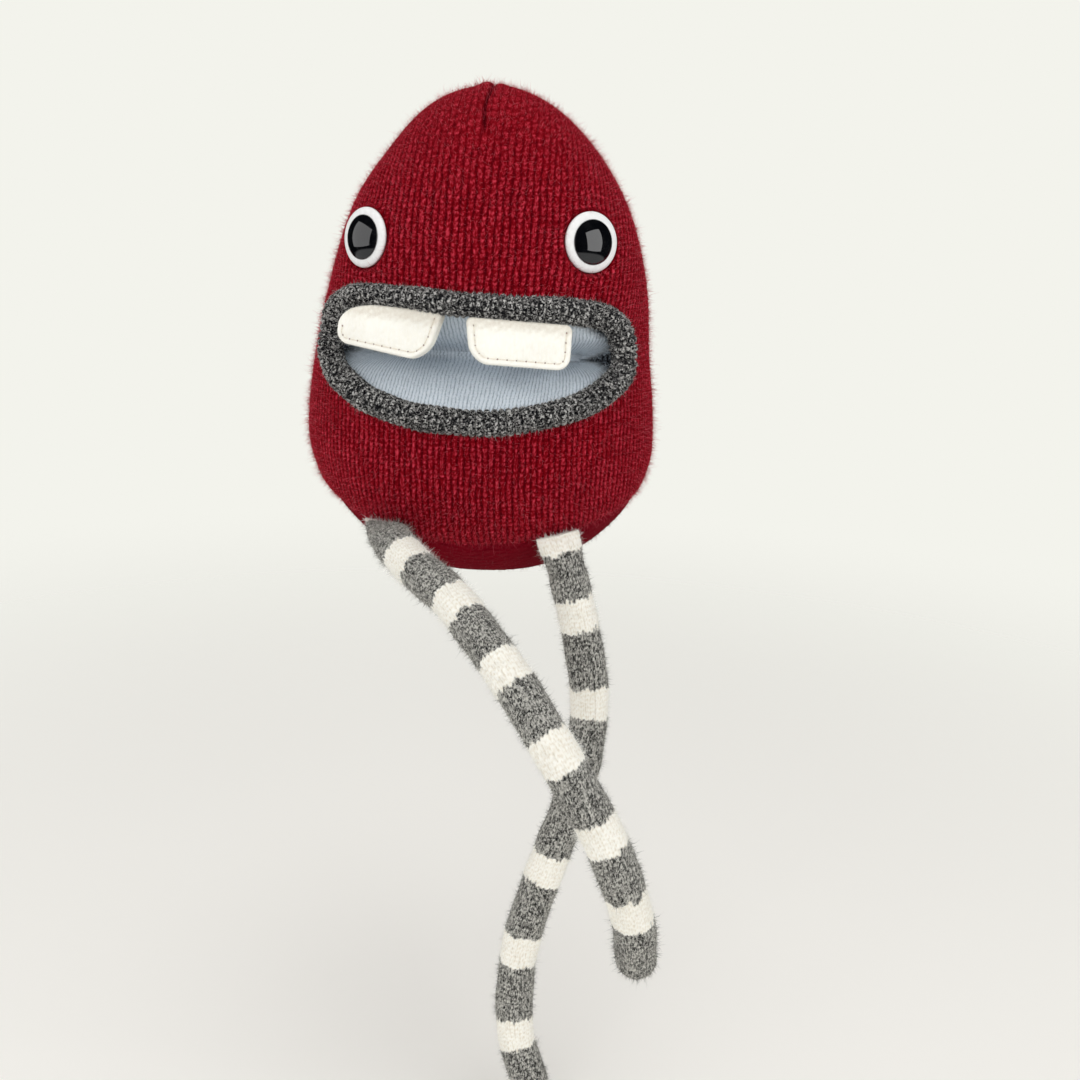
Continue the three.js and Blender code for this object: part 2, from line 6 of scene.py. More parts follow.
import bpy
import numpy as np
from mathutils import Matrix


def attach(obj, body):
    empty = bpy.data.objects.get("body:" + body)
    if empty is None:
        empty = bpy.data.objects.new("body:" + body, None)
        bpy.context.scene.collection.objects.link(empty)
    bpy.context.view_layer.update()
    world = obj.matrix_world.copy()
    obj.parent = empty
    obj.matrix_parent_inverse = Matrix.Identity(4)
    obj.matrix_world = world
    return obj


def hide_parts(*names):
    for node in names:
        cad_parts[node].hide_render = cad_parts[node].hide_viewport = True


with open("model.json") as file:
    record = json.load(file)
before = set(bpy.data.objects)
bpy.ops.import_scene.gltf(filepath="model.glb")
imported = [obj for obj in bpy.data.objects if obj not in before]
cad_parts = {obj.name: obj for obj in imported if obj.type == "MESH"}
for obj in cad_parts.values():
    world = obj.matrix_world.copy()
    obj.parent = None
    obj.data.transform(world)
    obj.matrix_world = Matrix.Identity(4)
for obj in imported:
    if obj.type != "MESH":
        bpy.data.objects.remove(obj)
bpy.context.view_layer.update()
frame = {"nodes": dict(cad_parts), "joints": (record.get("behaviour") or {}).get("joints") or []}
JOINTS = {joint["name"]: joint for joint in frame["joints"]}

bl_info = {
    "name": "Knitted Plush Monster",
    "version": (1, 0, 0),
    "blender": (4, 5, 0),
    "location": "View3D > Sidebar > Plush",
    "description": "Dresses the packed plush monster in knit, felt, thread and loose fibres",
    "category": "Object",
}

MM = 0.001
TURN = 2 * math.pi
BAKE_MAP = "OFBake"
# Steps of each leg's centreline from its hip, in millimetres
LEG_ROUTES = {
    "left": [
        (10, -21, -4), (27.5, -40, -10.5), (44, -56.5, -23), (59.5, -69, -40),
        (72.5, -69, -63), (81, -64.5, -87.5), (83, -56.5, -109),
    ],
    "right": [
        (7.5, -2, -24.5), (12.5, -3, -53.5), (9.5, -5, -79.5), (1.5, -8, -106.5),
        (-5, -11.5, -131), (-5.5, -16, -159.5), (2, -21.5, -178.5),
    ],
}
SIDES = {"left": -1, "right": 1}


def linear(red, green, blue):
    """A colour of 0 to 255 as the screen shows it, in the linear values that shaders use."""
    shown = np.array([red, green, blue]) / 255
    return tuple(np.where(shown <= 0.04045, shown / 12.92, ((shown + 0.055) / 1.055) ** 2.4))


def length(name, description, millimetres):
    return bpy.props.FloatProperty(
        name=name, description=description, default=millimetres * MM, precision=5, unit="LENGTH"
    )


def angle(name, description, degrees):
    return bpy.props.FloatProperty(
        name=name, description=description, default=math.radians(degrees), subtype="ANGLE"
    )


def number(name, description, default):
    return bpy.props.FloatProperty(name=name, description=description, default=default)


def count(name, description, default):
    return bpy.props.IntProperty(name=name, description=description, default=default, min=0)


def colour(name, description, *shown):
    return bpy.props.FloatVectorProperty(
        name=name, description=description, default=linear(*shown), subtype="COLOR", min=0, max=1
    )


class BodySettings(bpy.types.PropertyGroup):
    """The egg-shaped body and its three panels."""

    height: length("Height", "Crown above the flat base", 142.5)
    width: length("Width", "Across the widest part", 105)
    depth: length("Depth", "Front to back at the widest part", 89)
    base_width: length("Base width", "Across the flat that the body sits on", 47)
    widest_height: length("Widest height", "Where the body is widest", 40)
    crown_power: number("Crown power", "How late the crown starts to curve in", 2.08)
    crown_round: number("Crown roundness", "How blunt the crown is", 2.06)
    belly_power: number("Belly power", "How late the belly starts to curve in", 2.0)
    belly_round: number("Belly roundness", "How blunt the belly is", 1.7)
    seam_front: length("Seam front", "Height of the base seam in front and behind", 11.2)
    seam_side: length("Seam side", "Height the base seam would reach at the full width", 24)
    seam_depth: length("Seam depth", "How far the seams pull the knit in", 0.55)
    dart_drop: length("Dart", "How far the crown's darts reach down", 13.5)
    dart_depth: length("Dart depth", "How far the darts pull the knit in", 0.95)
    right_bulge: length("Right bulge", "How far the filling swells the right side beside the eye", 1.7)
    left_bulge: length("Left bulge", "How far the filling swells the left side below the mouth", 2.2)
    thickness: length("Thickness", "Thickness of the knit", 1.8)
    lumps: length("Lumps", "How far the filling swells the knit unevenly", 0.35)
    red: colour("Red", "Yarn of the body", 124, 4, 15)
    # Painted shade: the colour that the grooves between the wales take
    red_shade: colour("Red shade", "Grooves between the wales", 80, 0, 8)
    red_fluff: colour("Red fluff", "Loose fibres that catch the light", 202, 58, 76)
    base_red: colour("Base red", "Felt of the base", 114, 0, 20)
    base_shade: colour("Base shade", "Darker tone of the base", 74, 0, 10)


class KnitSettings(bpy.types.PropertyGroup):
    """Gauge of each knit and the loose fibres on it."""

    wale: length("Wale", "Width of one column of stitches on the body", 2.0)
    course: length("Course", "Height of one row of stitches on the body", 1.5)
    relief: length("Relief", "Depth of the stitches on the body", 0.6)
    lip_wale: length("Lip wale", "Width of one rib of the lip", 2.1)
    lip_course: length("Lip course", "Height of one stitch of the lip", 1.5)
    lip_relief: length("Lip relief", "Depth of the lip's ribs", 1.3)
    lining_wale: length("Lining wale", "Width of one column of the lining", 1.1)
    lining_course: length("Lining course", "Height of one stitch of the lining", 1.2)
    lining_relief: length("Lining relief", "Depth of the lining's stitches", 0.22)
    leg_wales: count("Leg wales", "Columns of stitches round a leg", 24)
    leg_course: length("Leg course", "Height of one row of stitches on a leg", 1.4)
    leg_relief: length("Leg relief", "Depth of the stitches on a leg", 0.45)
    fibre: length("Fibre", "Longest loose fibre", 3.8)
    fibre_width: length("Fibre width", "Thickness of a loose fibre at its root", 0.08)
    body_fibres: count("Body fibres", "Long loose fibres on each body panel", 8000)
    base_fibres: count("Base fibres", "Long loose fibres on the base", 1200)
    lining_fibres: count("Lining fibres", "Long loose fibres on each half of the lining", 500)
    lip_fibres: count("Lip fibres", "Long loose fibres on the lip", 2500)
    leg_fibres: count("Leg fibres", "Long loose fibres on each leg", 4600)
    tooth_fibres: count("Tooth fibres", "Long loose fibres on each tooth", 900)
    fuzz: count("Fuzz", "Short fibres for each long one", 4)


class MouthSettings(bpy.types.PropertyGroup):
    """The lip and the lined pocket behind it."""

    height: length("Height", "Middle of the mouth above the base", 67.4)
    half_angle: angle("Half angle", "From the middle of the face to the mouth's corner", 58.5)
    rise: length("Rise", "Middle of the mouth to the top of its outline", 15.6)
    skew: length("Skew", "How much higher the top is at the left corner than in the middle", 1.5)
    drop: length("Drop", "Middle of the mouth to the bottom of its outline", 16.8)
    top_power: number("Top power", "How square the upper lip is", 4.2)
    bottom_power: number("Bottom power", "How square the lower lip is", 1.75)
    lip: length("Lip", "Diameter of the rolled lip", 7.5)
    squeeze: length("Squeeze", "How far the left tooth pushes the lip's inner side in", 1.3)
    swell: length("Swell", "How far the lining bulges into the pocket", 2.0)
    crease_setback: length("Crease setback", "Crease in front of the body's axis", 13)
    crease_drop: length("Crease drop", "Crease below the middle of the mouth", 2)
    crease_half_width: length("Crease half width", "Half the length of the crease", 30)
    crease_half_gape: length("Crease half gape", "Half the gap left at the crease", 1.2)
    lining_thickness: length("Lining thickness", "Thickness of the lining", 1.2)
    corner: length("Corner", "How far the pocket widens behind the corners of the lip", 7)
    # Turned edge: the lip's yarn turned in, and painted shade in the pocket's corners
    turned: length("Turned edge", "How far the lip's yarn is turned into the pocket at its right corner", 15)
    lip_dark: colour("Lip dark", "Dark ply of the lip's yarn", 14, 14, 18)
    lip_light: colour("Lip light", "Light ply of the lip's yarn", 200, 198, 194)
    lining: colour("Lining", "Yarn of the lining", 226, 235, 243)
    # Painted shade: the colour that the lining's grooves take
    lining_shade: colour("Lining shade", "Grooves of the lining", 160, 171, 181)


class EyeSettings(bpy.types.PropertyGroup):
    """The button eyes."""

    rise: length("Rise", "Middle of the eyes above the top of the mouth's outline", 17)
    place: angle("Place", "From the middle of the face to an eye", 48.6)
    sink: length("Sink", "How far the white sinks into the knit", 0.6)
    lean: angle("Lean", "How far the eyes tip down from the knit", 12)
    toe: angle("Toe-in", "How far the eyes turn towards the front", 8)
    left_lift: length("Left lift", "How far the left eye is sewn above its place", -0.8)
    right_lift: length("Right lift", "How far the right eye is sewn above its place", 0.5)
    white: length("White", "Diameter of the white disc", 17.2)
    white_edge: length("White edge", "Height of the white disc's edge", 0.6)
    white_crown: length("White crown", "Height of the white disc round the button", 1.6)
    button: length("Button", "Diameter of the black button", 12.8)
    button_edge: length("Button edge", "Height of the black button's edge", 0.1)
    button_crown: length("Button crown", "Height of the black button", 2.6)
    shank: length("Shank", "Diameter of the button's shank", 5)
    shank_length: length("Shank length", "Length of the button's shank", 12)
    clearance: length("Clearance", "Gap round the button's shank", 0.3)
    white_colour: colour("White", "Plastic of the disc", 232, 232, 230)
    button_colour: colour("Black", "Plastic of the button", 6, 7, 10)


class ToothSettings(bpy.types.PropertyGroup):
    """The felt teeth."""

    felt: length("Felt", "Thickness of one layer of felt", 1.7)
    gap: length("Gap", "Gap between the two layers", 0.3)
    left_width: length("Left width", "Width of the left tooth", 32)
    left_height: length("Left height", "Sewn edge of the left tooth to its bottom, in the middle", 10.9)
    left_place: angle("Left place", "From the middle of the face to the left tooth", -27)
    left_slope: angle("Left slope", "Rise of the left tooth's bottom towards its corner", 5.5)
    left_lean: length("Left lean", "How far the left tooth's inner side leans in", 4.5)
    left_tuck: length("Left tuck", "How far the left tooth's sewn edge is tucked under the lip", 2.2)
    left_shoulder: length("Left shoulder", "How far the left tooth's sewn edge falls at its outer end", 2.2)
    right_width: length("Right width", "Width of the right tooth", 30)
    right_height: length("Right height", "Sewn edge of the right tooth to its bottom, in the middle", 11.5)
    right_place: angle("Right place", "From the middle of the face to the right tooth", 17)
    right_slope: angle("Right slope", "Rise of the right tooth's bottom towards its corner", 0)
    right_lean: length("Right lean", "How far the right tooth's inner side leans in", 2.2)
    right_tuck: length("Right tuck", "How far the right tooth's sewn edge is tucked under the lip", 1.2)
    right_shoulder: length("Right shoulder", "How far the right tooth's sewn edge falls at its outer end", 0)
    left_upper: length("Left upper corner", "Radius of the left tooth's outer upper corner", 5.4)
    right_upper: length("Right upper corner", "Radius of the right tooth's outer upper corner", 2)
    inner_upper: length("Inner upper corner", "Radius of the upper corners towards the middle", 1.6)
    outer_lower: length("Outer lower corner", "Radius of the lower corners away from the middle", 3.8)
    inner_lower: length("Inner lower corner", "Radius of the lower corners towards the middle", 5.4)
    bend: length("Bend", "Radius that the teeth curve round the mouth with", 90)
    seam_inset: length("Seam inset", "Topstitching in from the edge", 1.7)
    stitch: length("Stitch", "Length of one topstitch", 2.7)
    thread: length("Thread", "Thickness of the topstitching thread", 0.3)
    puff: length("Puff", "How far the felt swells inside the topstitching", 0.35)
    white: colour("Felt", "Cream felt", 251, 249, 239)
    # Also the painted shade under the lip and in the sewn groove
    white_shade: colour("Felt shade", "Darker tone of the felt", 222, 214, 200)
    thread_colour: colour("Thread", "Topstitching thread", 240, 232, 218)
    hole: colour("Needle hole", "Shadow where the needle went in", 118, 62, 54)


class LegSettings(bpy.types.PropertyGroup):
    """The striped legs."""

    hip: angle("Hip", "From the middle of the face to a hip", 35.5)
    hip_rise: length("Hip rise", "Hips above the base seam", 3)
    diameter: length("Diameter", "Diameter of a leg", 11.6)
    top_width: length("Top width", "Width of the flat top", 13)
    top_thickness: length("Top thickness", "Thickness of the flat top", 3.5)
    pinch: length("Pinch", "Length over which the top flattens", 12)
    left_top: length("Left top", "White edge at the top of the left leg", 2.4)
    right_top: length("Right top", "White edge at the top of the right leg", 5)
    left_first: length("Left first", "Left top to the middle of its first white stripe", 27.6)
    left_pitch: length("Left pitch", "One white stripe to the next on the left leg", 24.85)
    left_round: length("Left round", "Length over which the left top fills out below", 2.5)
    left_room: length("Left room", "Length over which the left top fills out beside the body", 18)
    right_first: length("Right first", "Right top to the middle of its first white stripe", 24)
    right_pitch: length("Right pitch", "One white stripe to the next on the right leg", 27.8)
    right_round: length("Right round", "Length over which the right top fills out in front", 12)
    right_room: length("Right room", "Length over which the right top fills out beside the body", 15)
    stripe: length("Stripe", "Width of a white stripe", 9.8)
    last_stripe: length("Last stripe", "No white stripe starts past this", 168)
    seam_depth: length("Seam depth", "How far the long seam pulls the knit in", 0.3)
    white: colour("White", "Cream yarn", 255, 253, 244)
    # Painted shade: the colour that the cream yarn's grooves take
    white_shade: colour("White shade", "Grooves in the cream yarn", 234, 226, 210)
    grey_dark: colour("Grey dark", "Dark ply of the grey yarn", 40, 40, 40)
    grey_light: colour("Grey light", "Light ply of the grey yarn", 198, 196, 188)
    grey_fluff: colour("Grey fluff", "Loose grey fibres", 150, 148, 142)
    tuft: length("Tuft", "Longest wisp at a leg's tip", 4.5)


class StageSettings(bpy.types.PropertyGroup):
    """The floor, the lights and the camera."""

    floor: length("Floor", "Height of the floor", -169)
    floor_radius: length("Floor radius", "How far the floor reaches", 900)
    pale: colour("Pale", "Backdrop", 243, 243, 236)
    floor_tone: colour("Floor tone", "Floor", 250, 248, 242)
    room: colour("Room", "Room, as it shows in gloss", 14, 14, 16)
    room_floor: colour("Room floor", "Floor, as it shows in gloss", 150, 150, 150)
    ambient: number("Ambient", "Light from all round", 0.47)
    side_power: number("Side power", "Watts of each side softbox", 5.9)
    top_power: number("Top power", "Watts of the softbox above", 4.1)
    front_power: number("Front power", "Watts of the fill in front", 6.9)
    azimuth: angle("Azimuth", "Camera round the toy", 5)
    pitch: angle("Pitch", "Camera above the toy", 16)
    roll: angle("Roll", "Turn of the picture", 2)
    distance: length("Distance", "Camera to the middle of the body", 450)
    target: length("Target", "Height of the point that the camera is set from", 60)
    aim_x: number("Aim across", "Where that point lies in the picture, across", 485.9)
    aim_y: number("Aim down", "Where that point lies in the picture, down", 365.4)
    lens: number("Lens", "Focal length in millimetres", 48.6)


SETTINGS = {
    "plush_body": BodySettings,
    "plush_knit": KnitSettings,
    "plush_mouth": MouthSettings,
    "plush_eye": EyeSettings,
    "plush_tooth": ToothSettings,
    "plush_leg": LegSettings,
    "plush_stage": StageSettings,
}
# Side of the picture in pixels, and width of the camera's sensor in millimetres
PICTURE, SENSOR = 1080, 36
# Rounds in which the base seam settles on the body
SETTLE = 12
# Height and reach of each side's bulge and then of its hollow, in millimetres, and the hollow's share
BULGES = {"right": (104, 24, 66, 13, 0.7), "left": (42, 22, 127, 12, 0.5)}
# How deep the knit is pressed in under an eye, and how far inside and outside the rim it rises again
EYE_SEAT, EYE_INSIDE, EYE_OUTSIDE = 0.8 * MM, 0.6 * MM, 1.6 * MM
WOOL_ROUGHNESS = 0.95
# Short fuzz as shares of a long fibre
FUZZ_REACH = 0.72
FUZZ_WIDTH = 1.3
# Points on each corner, long side and short side of a tooth's outline
TOOTH_CORNER, TOOTH_LONG, TOOTH_SHORT = 14, 60, 12
# Points round an eye
EYE_SIDES = 96
# Height of the point that the lights face
LIT_HEIGHT = 0.05


# Arithmetic

def unit(vectors):
    """Vectors made one long."""
    return vectors / np.maximum(np.linalg.norm(vectors, axis=-1, keepdims=True), 1e-12)


def smooth(values, low, high):
    """0 below low, 1 above high and an S-curve between."""
    share = np.clip((values - low) / (high - low), 0, 1)
    return share * share * (3 - 2 * share)


def bell(values, width):
    """1 at zero, falling away over a width."""
    return np.exp(-((values / width) ** 2))


def wander(points, size, seed):
    """Smooth noise about zero: the mean of sine waves of one size in seeded directions."""
    rng = np.random.default_rng(seed)
    waves = unit(rng.normal(size=(9, 3))) * TURN / size * rng.uniform(0.6, 1.5, (9, 1))
    return np.sin(points @ waves.T + rng.uniform(0, TURN, 9)).mean(-1) * 2


def stitches(wale, course, split, lap, lean=0.0):
    """Height from 0 to 1 of stocking stitch. Across a wale lies a half circle, or two side by side, in
    shares set by the split. Along it each half dips once in a course, later at the wale's edges, so the
    dips make a V. Between two dips the halves lean apart as they rise."""
    side = np.abs(2 * (wale - np.floor(wale)) - 1)
    beat = course - 0.5 * side
    leant = 2 * side - 1 - lean * (beat - np.floor(beat + 0.5))
    hump = np.sqrt(np.clip(1 - side ** 2, 0, 1))
    ropes = np.sqrt(np.clip(1 - leant ** 2, 0, 1))
    dip = 0.5 + 0.5 * np.cos(TURN * beat)
    return (hump * (1 - split) + ropes * split) * (1 - lap + lap * dip)


def nearest(points, line):
    """Distance from each point to the nearest of a line's points, a block at a time."""
    blocks = np.array_split(points, max(1, len(points) // 4000))
    return np.concatenate([np.linalg.norm(b[:, None] - line[None], axis=2).min(1) for b in blocks])


def length_along(line):
    """The length from a line's first point to each of its points."""
    return np.concatenate([[0], np.cumsum(np.linalg.norm(np.diff(line, axis=0), axis=1))])


# Meshes

def grid_faces(rows, columns, round_it=False):
    """Corner numbers of a grid's quads, row by row. One that goes round joins its last column to its
    first."""
    last = columns if round_it else columns - 1
    row, column = np.meshgrid(np.arange(rows - 1), np.arange(last), indexing="ij")
    after = (column + 1) % columns
    this, below = row * columns, (row + 1) * columns
    return np.stack([this + column, this + after, below + after, below + column], -1).reshape(-1, 4)


def point_normals(points, quads):
    """Each point's normal: the sum of the normals of the quads round it."""
    a, b, c, d = (points[quads[:, k]] for k in range(4))
    face = np.cross(c - a, d - b)
    normals = np.zeros_like(points)
    for k in range(4):
        np.add.at(normals, quads[:, k], face)
    return unit(normals)


def welded(points, quads):
    """Quads that share corners lying at one point. Quads with no area are dropped."""
    spots = np.round(points / 1e-7).astype(np.int64)
    first, same = np.unique(spots, axis=0, return_index=True, return_inverse=True)[1:]
    joined = first[same.ravel()][quads]
    apart = [joined[:, k] != joined[:, (k + 1) % 4] for k in range(4)]
    solid = (np.sum(apart, 0) >= 3) & (joined[:, 0] != joined[:, 2]) & (joined[:, 1] != joined[:, 3])
    return joined[solid], quads[solid]


def turned_in(points, normals, quads, depth):
    """Points and quads of an edge of the cloth's thickness, turned in from every open edge of a sheet."""
    start = quads.ravel()
    end = np.roll(quads, -1, 1).ravel()
    real = start != end
    start, end = start[real], end[real]
    size = len(points)
    open_edge = ~np.isin(start * size + end, end * size + start)
    start, end = start[open_edge], end[open_edge]
    used, place = np.unique(np.concatenate([start, end]), return_inverse=True)
    inner = size + place.reshape(2, -1)
    wall = np.stack([end, start, inner[0], inner[1]], -1)
    return points[used] - normals[used] * depth, wall, used


def new_object(name, points, quads, material, values=None, uv=None, corner_uv=None):
    """A smooth mesh object at the origin from quads, in which a repeated corner makes a triangle.
    Values are named numbers kept at the points, and uv is each point's place on the map."""
    mesh = bpy.data.meshes.new(name)
    real = np.stack([quads[:, k] != quads[:, (k + 1) % 4] for k in range(4)], -1)
    sizes = real.sum(1)
    corners = quads[real]
    used, corners_used = np.unique(corners, return_inverse=True)
    mesh.vertices.add(len(used))
    mesh.vertices.foreach_set("co", points[used].astype(np.float32).ravel())
    mesh.loops.add(len(corners))
    mesh.loops.foreach_set("vertex_index", corners_used.astype(np.int32).ravel())
    mesh.polygons.add(len(sizes))
    mesh.polygons.foreach_set("loop_start", (np.cumsum(sizes) - sizes).astype(np.int32))
    for key, value in (values or {}).items():
        attribute = mesh.attributes.new(key, "FLOAT", "POINT")
        attribute.data.foreach_set("value", value[used].astype(np.float32))
    if uv is not None:
        source = corners if corner_uv is None else corner_uv[real]
        layer = mesh.uv_layers.new(name=BAKE_MAP)
        layer.uv.foreach_set("vector", uv[source].astype(np.float32).ravel())
    mesh.update(calc_edges=True)
    mesh.polygons.foreach_set("use_smooth", np.ones(len(sizes), bool))
    mesh.validate()
    for made in material if isinstance(material, list) else [material]:
        mesh.materials.append(made)
    made = bpy.data.objects.new(name, mesh)
    bpy.context.scene.collection.objects.link(made)
    return made


def sheet_object(name, points, normals, quads, depth, material, values, uv):
    """A sheet of cloth whose open edges are turned in by a depth."""
    joined, plain = welded(points, quads)
    rim, wall, used = turned_in(points, normals, joined, depth)
    every = np.concatenate([joined, wall])
    corner_uv = np.concatenate([plain, wall])
    values = {key: np.concatenate([value, value[used]]) for key, value in values.items()}
    uv = np.concatenate([uv, uv[used]])
    return new_object(name, np.concatenate([points, rim]), every, material, values, uv, corner_uv)


def grid_map(rows, columns):
    """The place of each point of a grid on a map, inside a narrow border."""
    border = 0.002
    along, down = (np.linspace(border, 1 - border, amount) for amount in (columns, rows))
    return np.stack(np.meshgrid(along, down), -1).reshape(-1, 2)


# Loose fibres

def scatter(points, normals, quads, amount, rng):
    """Roots and normals at random places on quads, as many on each as its area asks."""
    a, b, c, d = (points[quads[:, k]] for k in range(4))
    area = np.linalg.norm(np.cross(c - a, d - b), axis=1)
    chosen = quads[rng.choice(len(quads), amount, p=area / area.sum())]
    u, v = rng.random((2, amount, 1))
    weights = [(1 - u) * (1 - v), u * (1 - v), u * v, (1 - u) * v]
    root = sum(w * points[chosen[:, k]] for k, w in enumerate(weights))
    return root, unit(sum(w * normals[chosen[:, k]] for k, w in enumerate(weights)))


def fibre_mesh(name, roots, normals, longest, width, tones, rng, bent=True, lay=0.55):
    """Loose fibres: three-sided spikes from a root sunk in the cloth. A fibre leans away from the cloth's
    normal by a random lay. A bent one runs aside along a parabola, through a ring halfway. Most are short."""
    amount = len(roots)
    stretch = longest * (0.25 + 0.75 * rng.random((amount, 1)) ** 2.2)
    lean = unit(normals * rng.uniform(0.4, 1.3, (amount, 1)) + rng.normal(size=(amount, 3)) * lay)
    outward = np.sum(lean * normals, 1, keepdims=True)
    lean = unit(lean + normals * np.maximum(0.15 - outward, 0))
    aside = unit(np.cross(lean, rng.normal(size=(amount, 3))))
    bend = rng.uniform(0.15, 0.8, (amount, 1)) if bent else 0
    share = np.array([0, 0.55] if bent else [0])[:, None, None]
    line = roots - normals * 0.3 * MM + stretch * (share * lean + share ** 2 * bend * aside)
    tip = roots + stretch * (lean + bend * aside)
    across = np.cross(lean, aside)
    around = TURN / 3 * np.arange(3)[None, None, :, None]
    radius = width / 2 * (1 - 0.5 * share[..., None])
    ring = line[:, :, None] + radius * (np.cos(around) * aside[:, None] + np.sin(around) * across[:, None])
    rings = len(share)
    points = np.concatenate([ring.transpose(1, 0, 2, 3).reshape(amount, 3 * rings, 3), tip[:, None]], 1)
    near = np.arange(3)
    after = (near + 1) % 3
    last = 3 * rings
    sides = [np.stack([near, after, 3 + after, 3 + near], -1)] if bent else []
    point = np.stack([last - 3 + near, last - 3 + after, 0 * near + last, 0 * near + last], -1)
    pattern = np.concatenate(sides + [point, [[2, 1, 0, 0]]])
    quads = (pattern[None] + (last + 1) * np.arange(amount)[:, None, None]).reshape(-1, 4)
    made = new_object(name, points.reshape(-1, 3), quads, tones)
    tone = np.repeat(rng.integers(0, len(tones), amount), len(pattern))
    made.data.polygons.foreach_set("material_index", tone.astype(np.int32))
    return made


def fluffed(name, cloth, amount, share, knit, tones, rng, body_name, free=None, fine=1.0):
    """Long bent fibres and short straight fuzz on a cloth of points, normals and quads, where it is free.
    They reach a share of the longest fibre's length, and a fine one is thinner."""
    longest, width = share * knit.fibre, fine * knit.fibre_width
    for kind, number, reach, thick, bent in (
        ("fibres", amount, longest, width, True),
        ("fuzz", amount * knit.fuzz, FUZZ_REACH * longest, FUZZ_WIDTH * width, False),
    ):
        roots, normals = scatter(*cloth, number, rng)
        if free is not None:
            bare = free(roots)
            roots, normals = roots[bare], normals[bare]
        loose = fibre_mesh(f"{name}_{kind}", roots, normals, reach, thick, tones, rng, bent)
        finish_piece(loose, body_name)


# The body's surface

def body_share(z, body):
    """Half width at a height as a share of the widest: one blunt curve above that height, another below."""
    above = np.clip((z - body.widest_height) / (body.height - body.widest_height), 0, 1)
    reach = (1 - (body.base_width / body.width) ** body.belly_round) ** (1 / body.belly_power)
    below = np.clip((body.widest_height - z) / body.widest_height * reach, 0, 1)
    crown = (1 - above ** body.crown_power) ** (1 / body.crown_round)
    belly = (1 - below ** body.belly_power) ** (1 / body.belly_round)
    return np.where(z >= body.widest_height, crown, belly)


def body_point(angles, z, body):
    """An ellipse at each height, its angle measured from the middle of the face."""
    share = body_share(z, body)
    x = body.width / 2 * share * np.sin(angles)
    y = -body.depth / 2 * share * np.cos(angles)
    return np.stack([x, y, z + 0 * x], -1)


def body_normal(angles, z, body):
    """The slope of (x / half width)^2 + (y / half depth)^2 - share^2, made one long."""
    step = 0.01 * MM
    lean = (body_share(z + step, body) ** 2 - body_share(z - step, body) ** 2) / (4 * step)
    share = np.maximum(body_share(z, body), 1e-4)
    x = 2 * share * np.sin(angles) / body.width
    y = -2 * share * np.cos(angles) / body.depth
    return unit(np.stack([x, y, -lean + 0 * x], -1))


def quarter_arc(body):
    """Angles from the middle of the face to the side, and the arc to each at the widest height."""
    angles = np.linspace(0, math.pi / 2, 721)
    steps = np.hypot(body.width / 2 * np.cos(angles), body.depth / 2 * np.sin(angles))
    arcs = np.concatenate([[0], np.cumsum((steps[1:] + steps[:-1]) / 2 * np.diff(angles))])
    return angles, arcs


def seam_height(x, body):
    """The base seam: a parabola that rises towards the sides."""
    return body.seam_front + (body.seam_side - body.seam_front) * (2 * x / body.width) ** 2


def seam_at(turn, body):
    """Height of the base seam at an angle from the middle of the face: the one whose place on the body
    gives the same height."""
    z = np.full(np.shape(turn), body.seam_front)
    for _ in range(SETTLE):
        z = seam_height(body_point(turn, z, body)[..., 0], body)
    return z


def mouth_shares(angles, z, mouth):
    """How far a place lies towards the mouth's corners and its top or bottom, and its distance from the
    middle as a share of the mouth's outline in that direction."""
    across = angles / mouth.half_angle
    up = (z - mouth.height) / np.where(z > mouth.height, mouth.rise - mouth.skew * across, mouth.drop)
    power = np.where(z > mouth.height, mouth.top_power, mouth.bottom_power)
    return across, up, (np.abs(across) ** power + np.abs(up) ** power) ** (1 / power)


def mouth_outline(turns, mouth):
    """Shares across and up on the outline: a flat-topped, deep-bottomed oval."""
    power = 2 / np.where(np.sin(turns) > 0, mouth.top_power, mouth.bottom_power)
    across = np.sign(np.cos(turns)) * np.abs(np.cos(turns)) ** power
    up = np.sign(np.sin(turns)) * np.abs(np.sin(turns)) ** power
    return across, up


def outline_place(turns, mouth):
    """The outline's angle from the middle of the face, and its height, which is skewed above the corners."""
    across, up = mouth_outline(turns, mouth)
    z = mouth.height + up * np.where(up > 0, mouth.rise - mouth.skew * across, mouth.drop)
    return mouth.half_angle * across, z


def even_turns(amount, mouth, body):
    """Turns that divide the outline into equal lengths, and its whole length."""
    turns = np.linspace(0, TURN, 8001)
    line = body_point(*outline_place(turns, mouth), body)
    run = length_along(line)
    return np.interp(np.arange(amount) / amount * run[-1], run, turns), run[-1]


def eye_frame(side, body, mouth, eye):
    """An eye's place on the body, and its axes across, up and out, which tip down and in from the normal."""
    turn = np.array(side * eye.place)
    z = np.array(mouth.height + mouth.rise + eye.rise)
    out = body_normal(turn, z, body)
    across = unit(np.array([-out[1], out[0], 0.0]))
    up = np.cross(out, across)
    place = body_point(turn, z, body) + up * (eye.left_lift if side < 0 else eye.right_lift)
    out = unit(out - up * math.tan(eye.lean) - side * across * math.tan(eye.toe))
    across = unit(np.array([-out[1], out[0], 0.0]))
    return place, across, np.cross(out, across), out


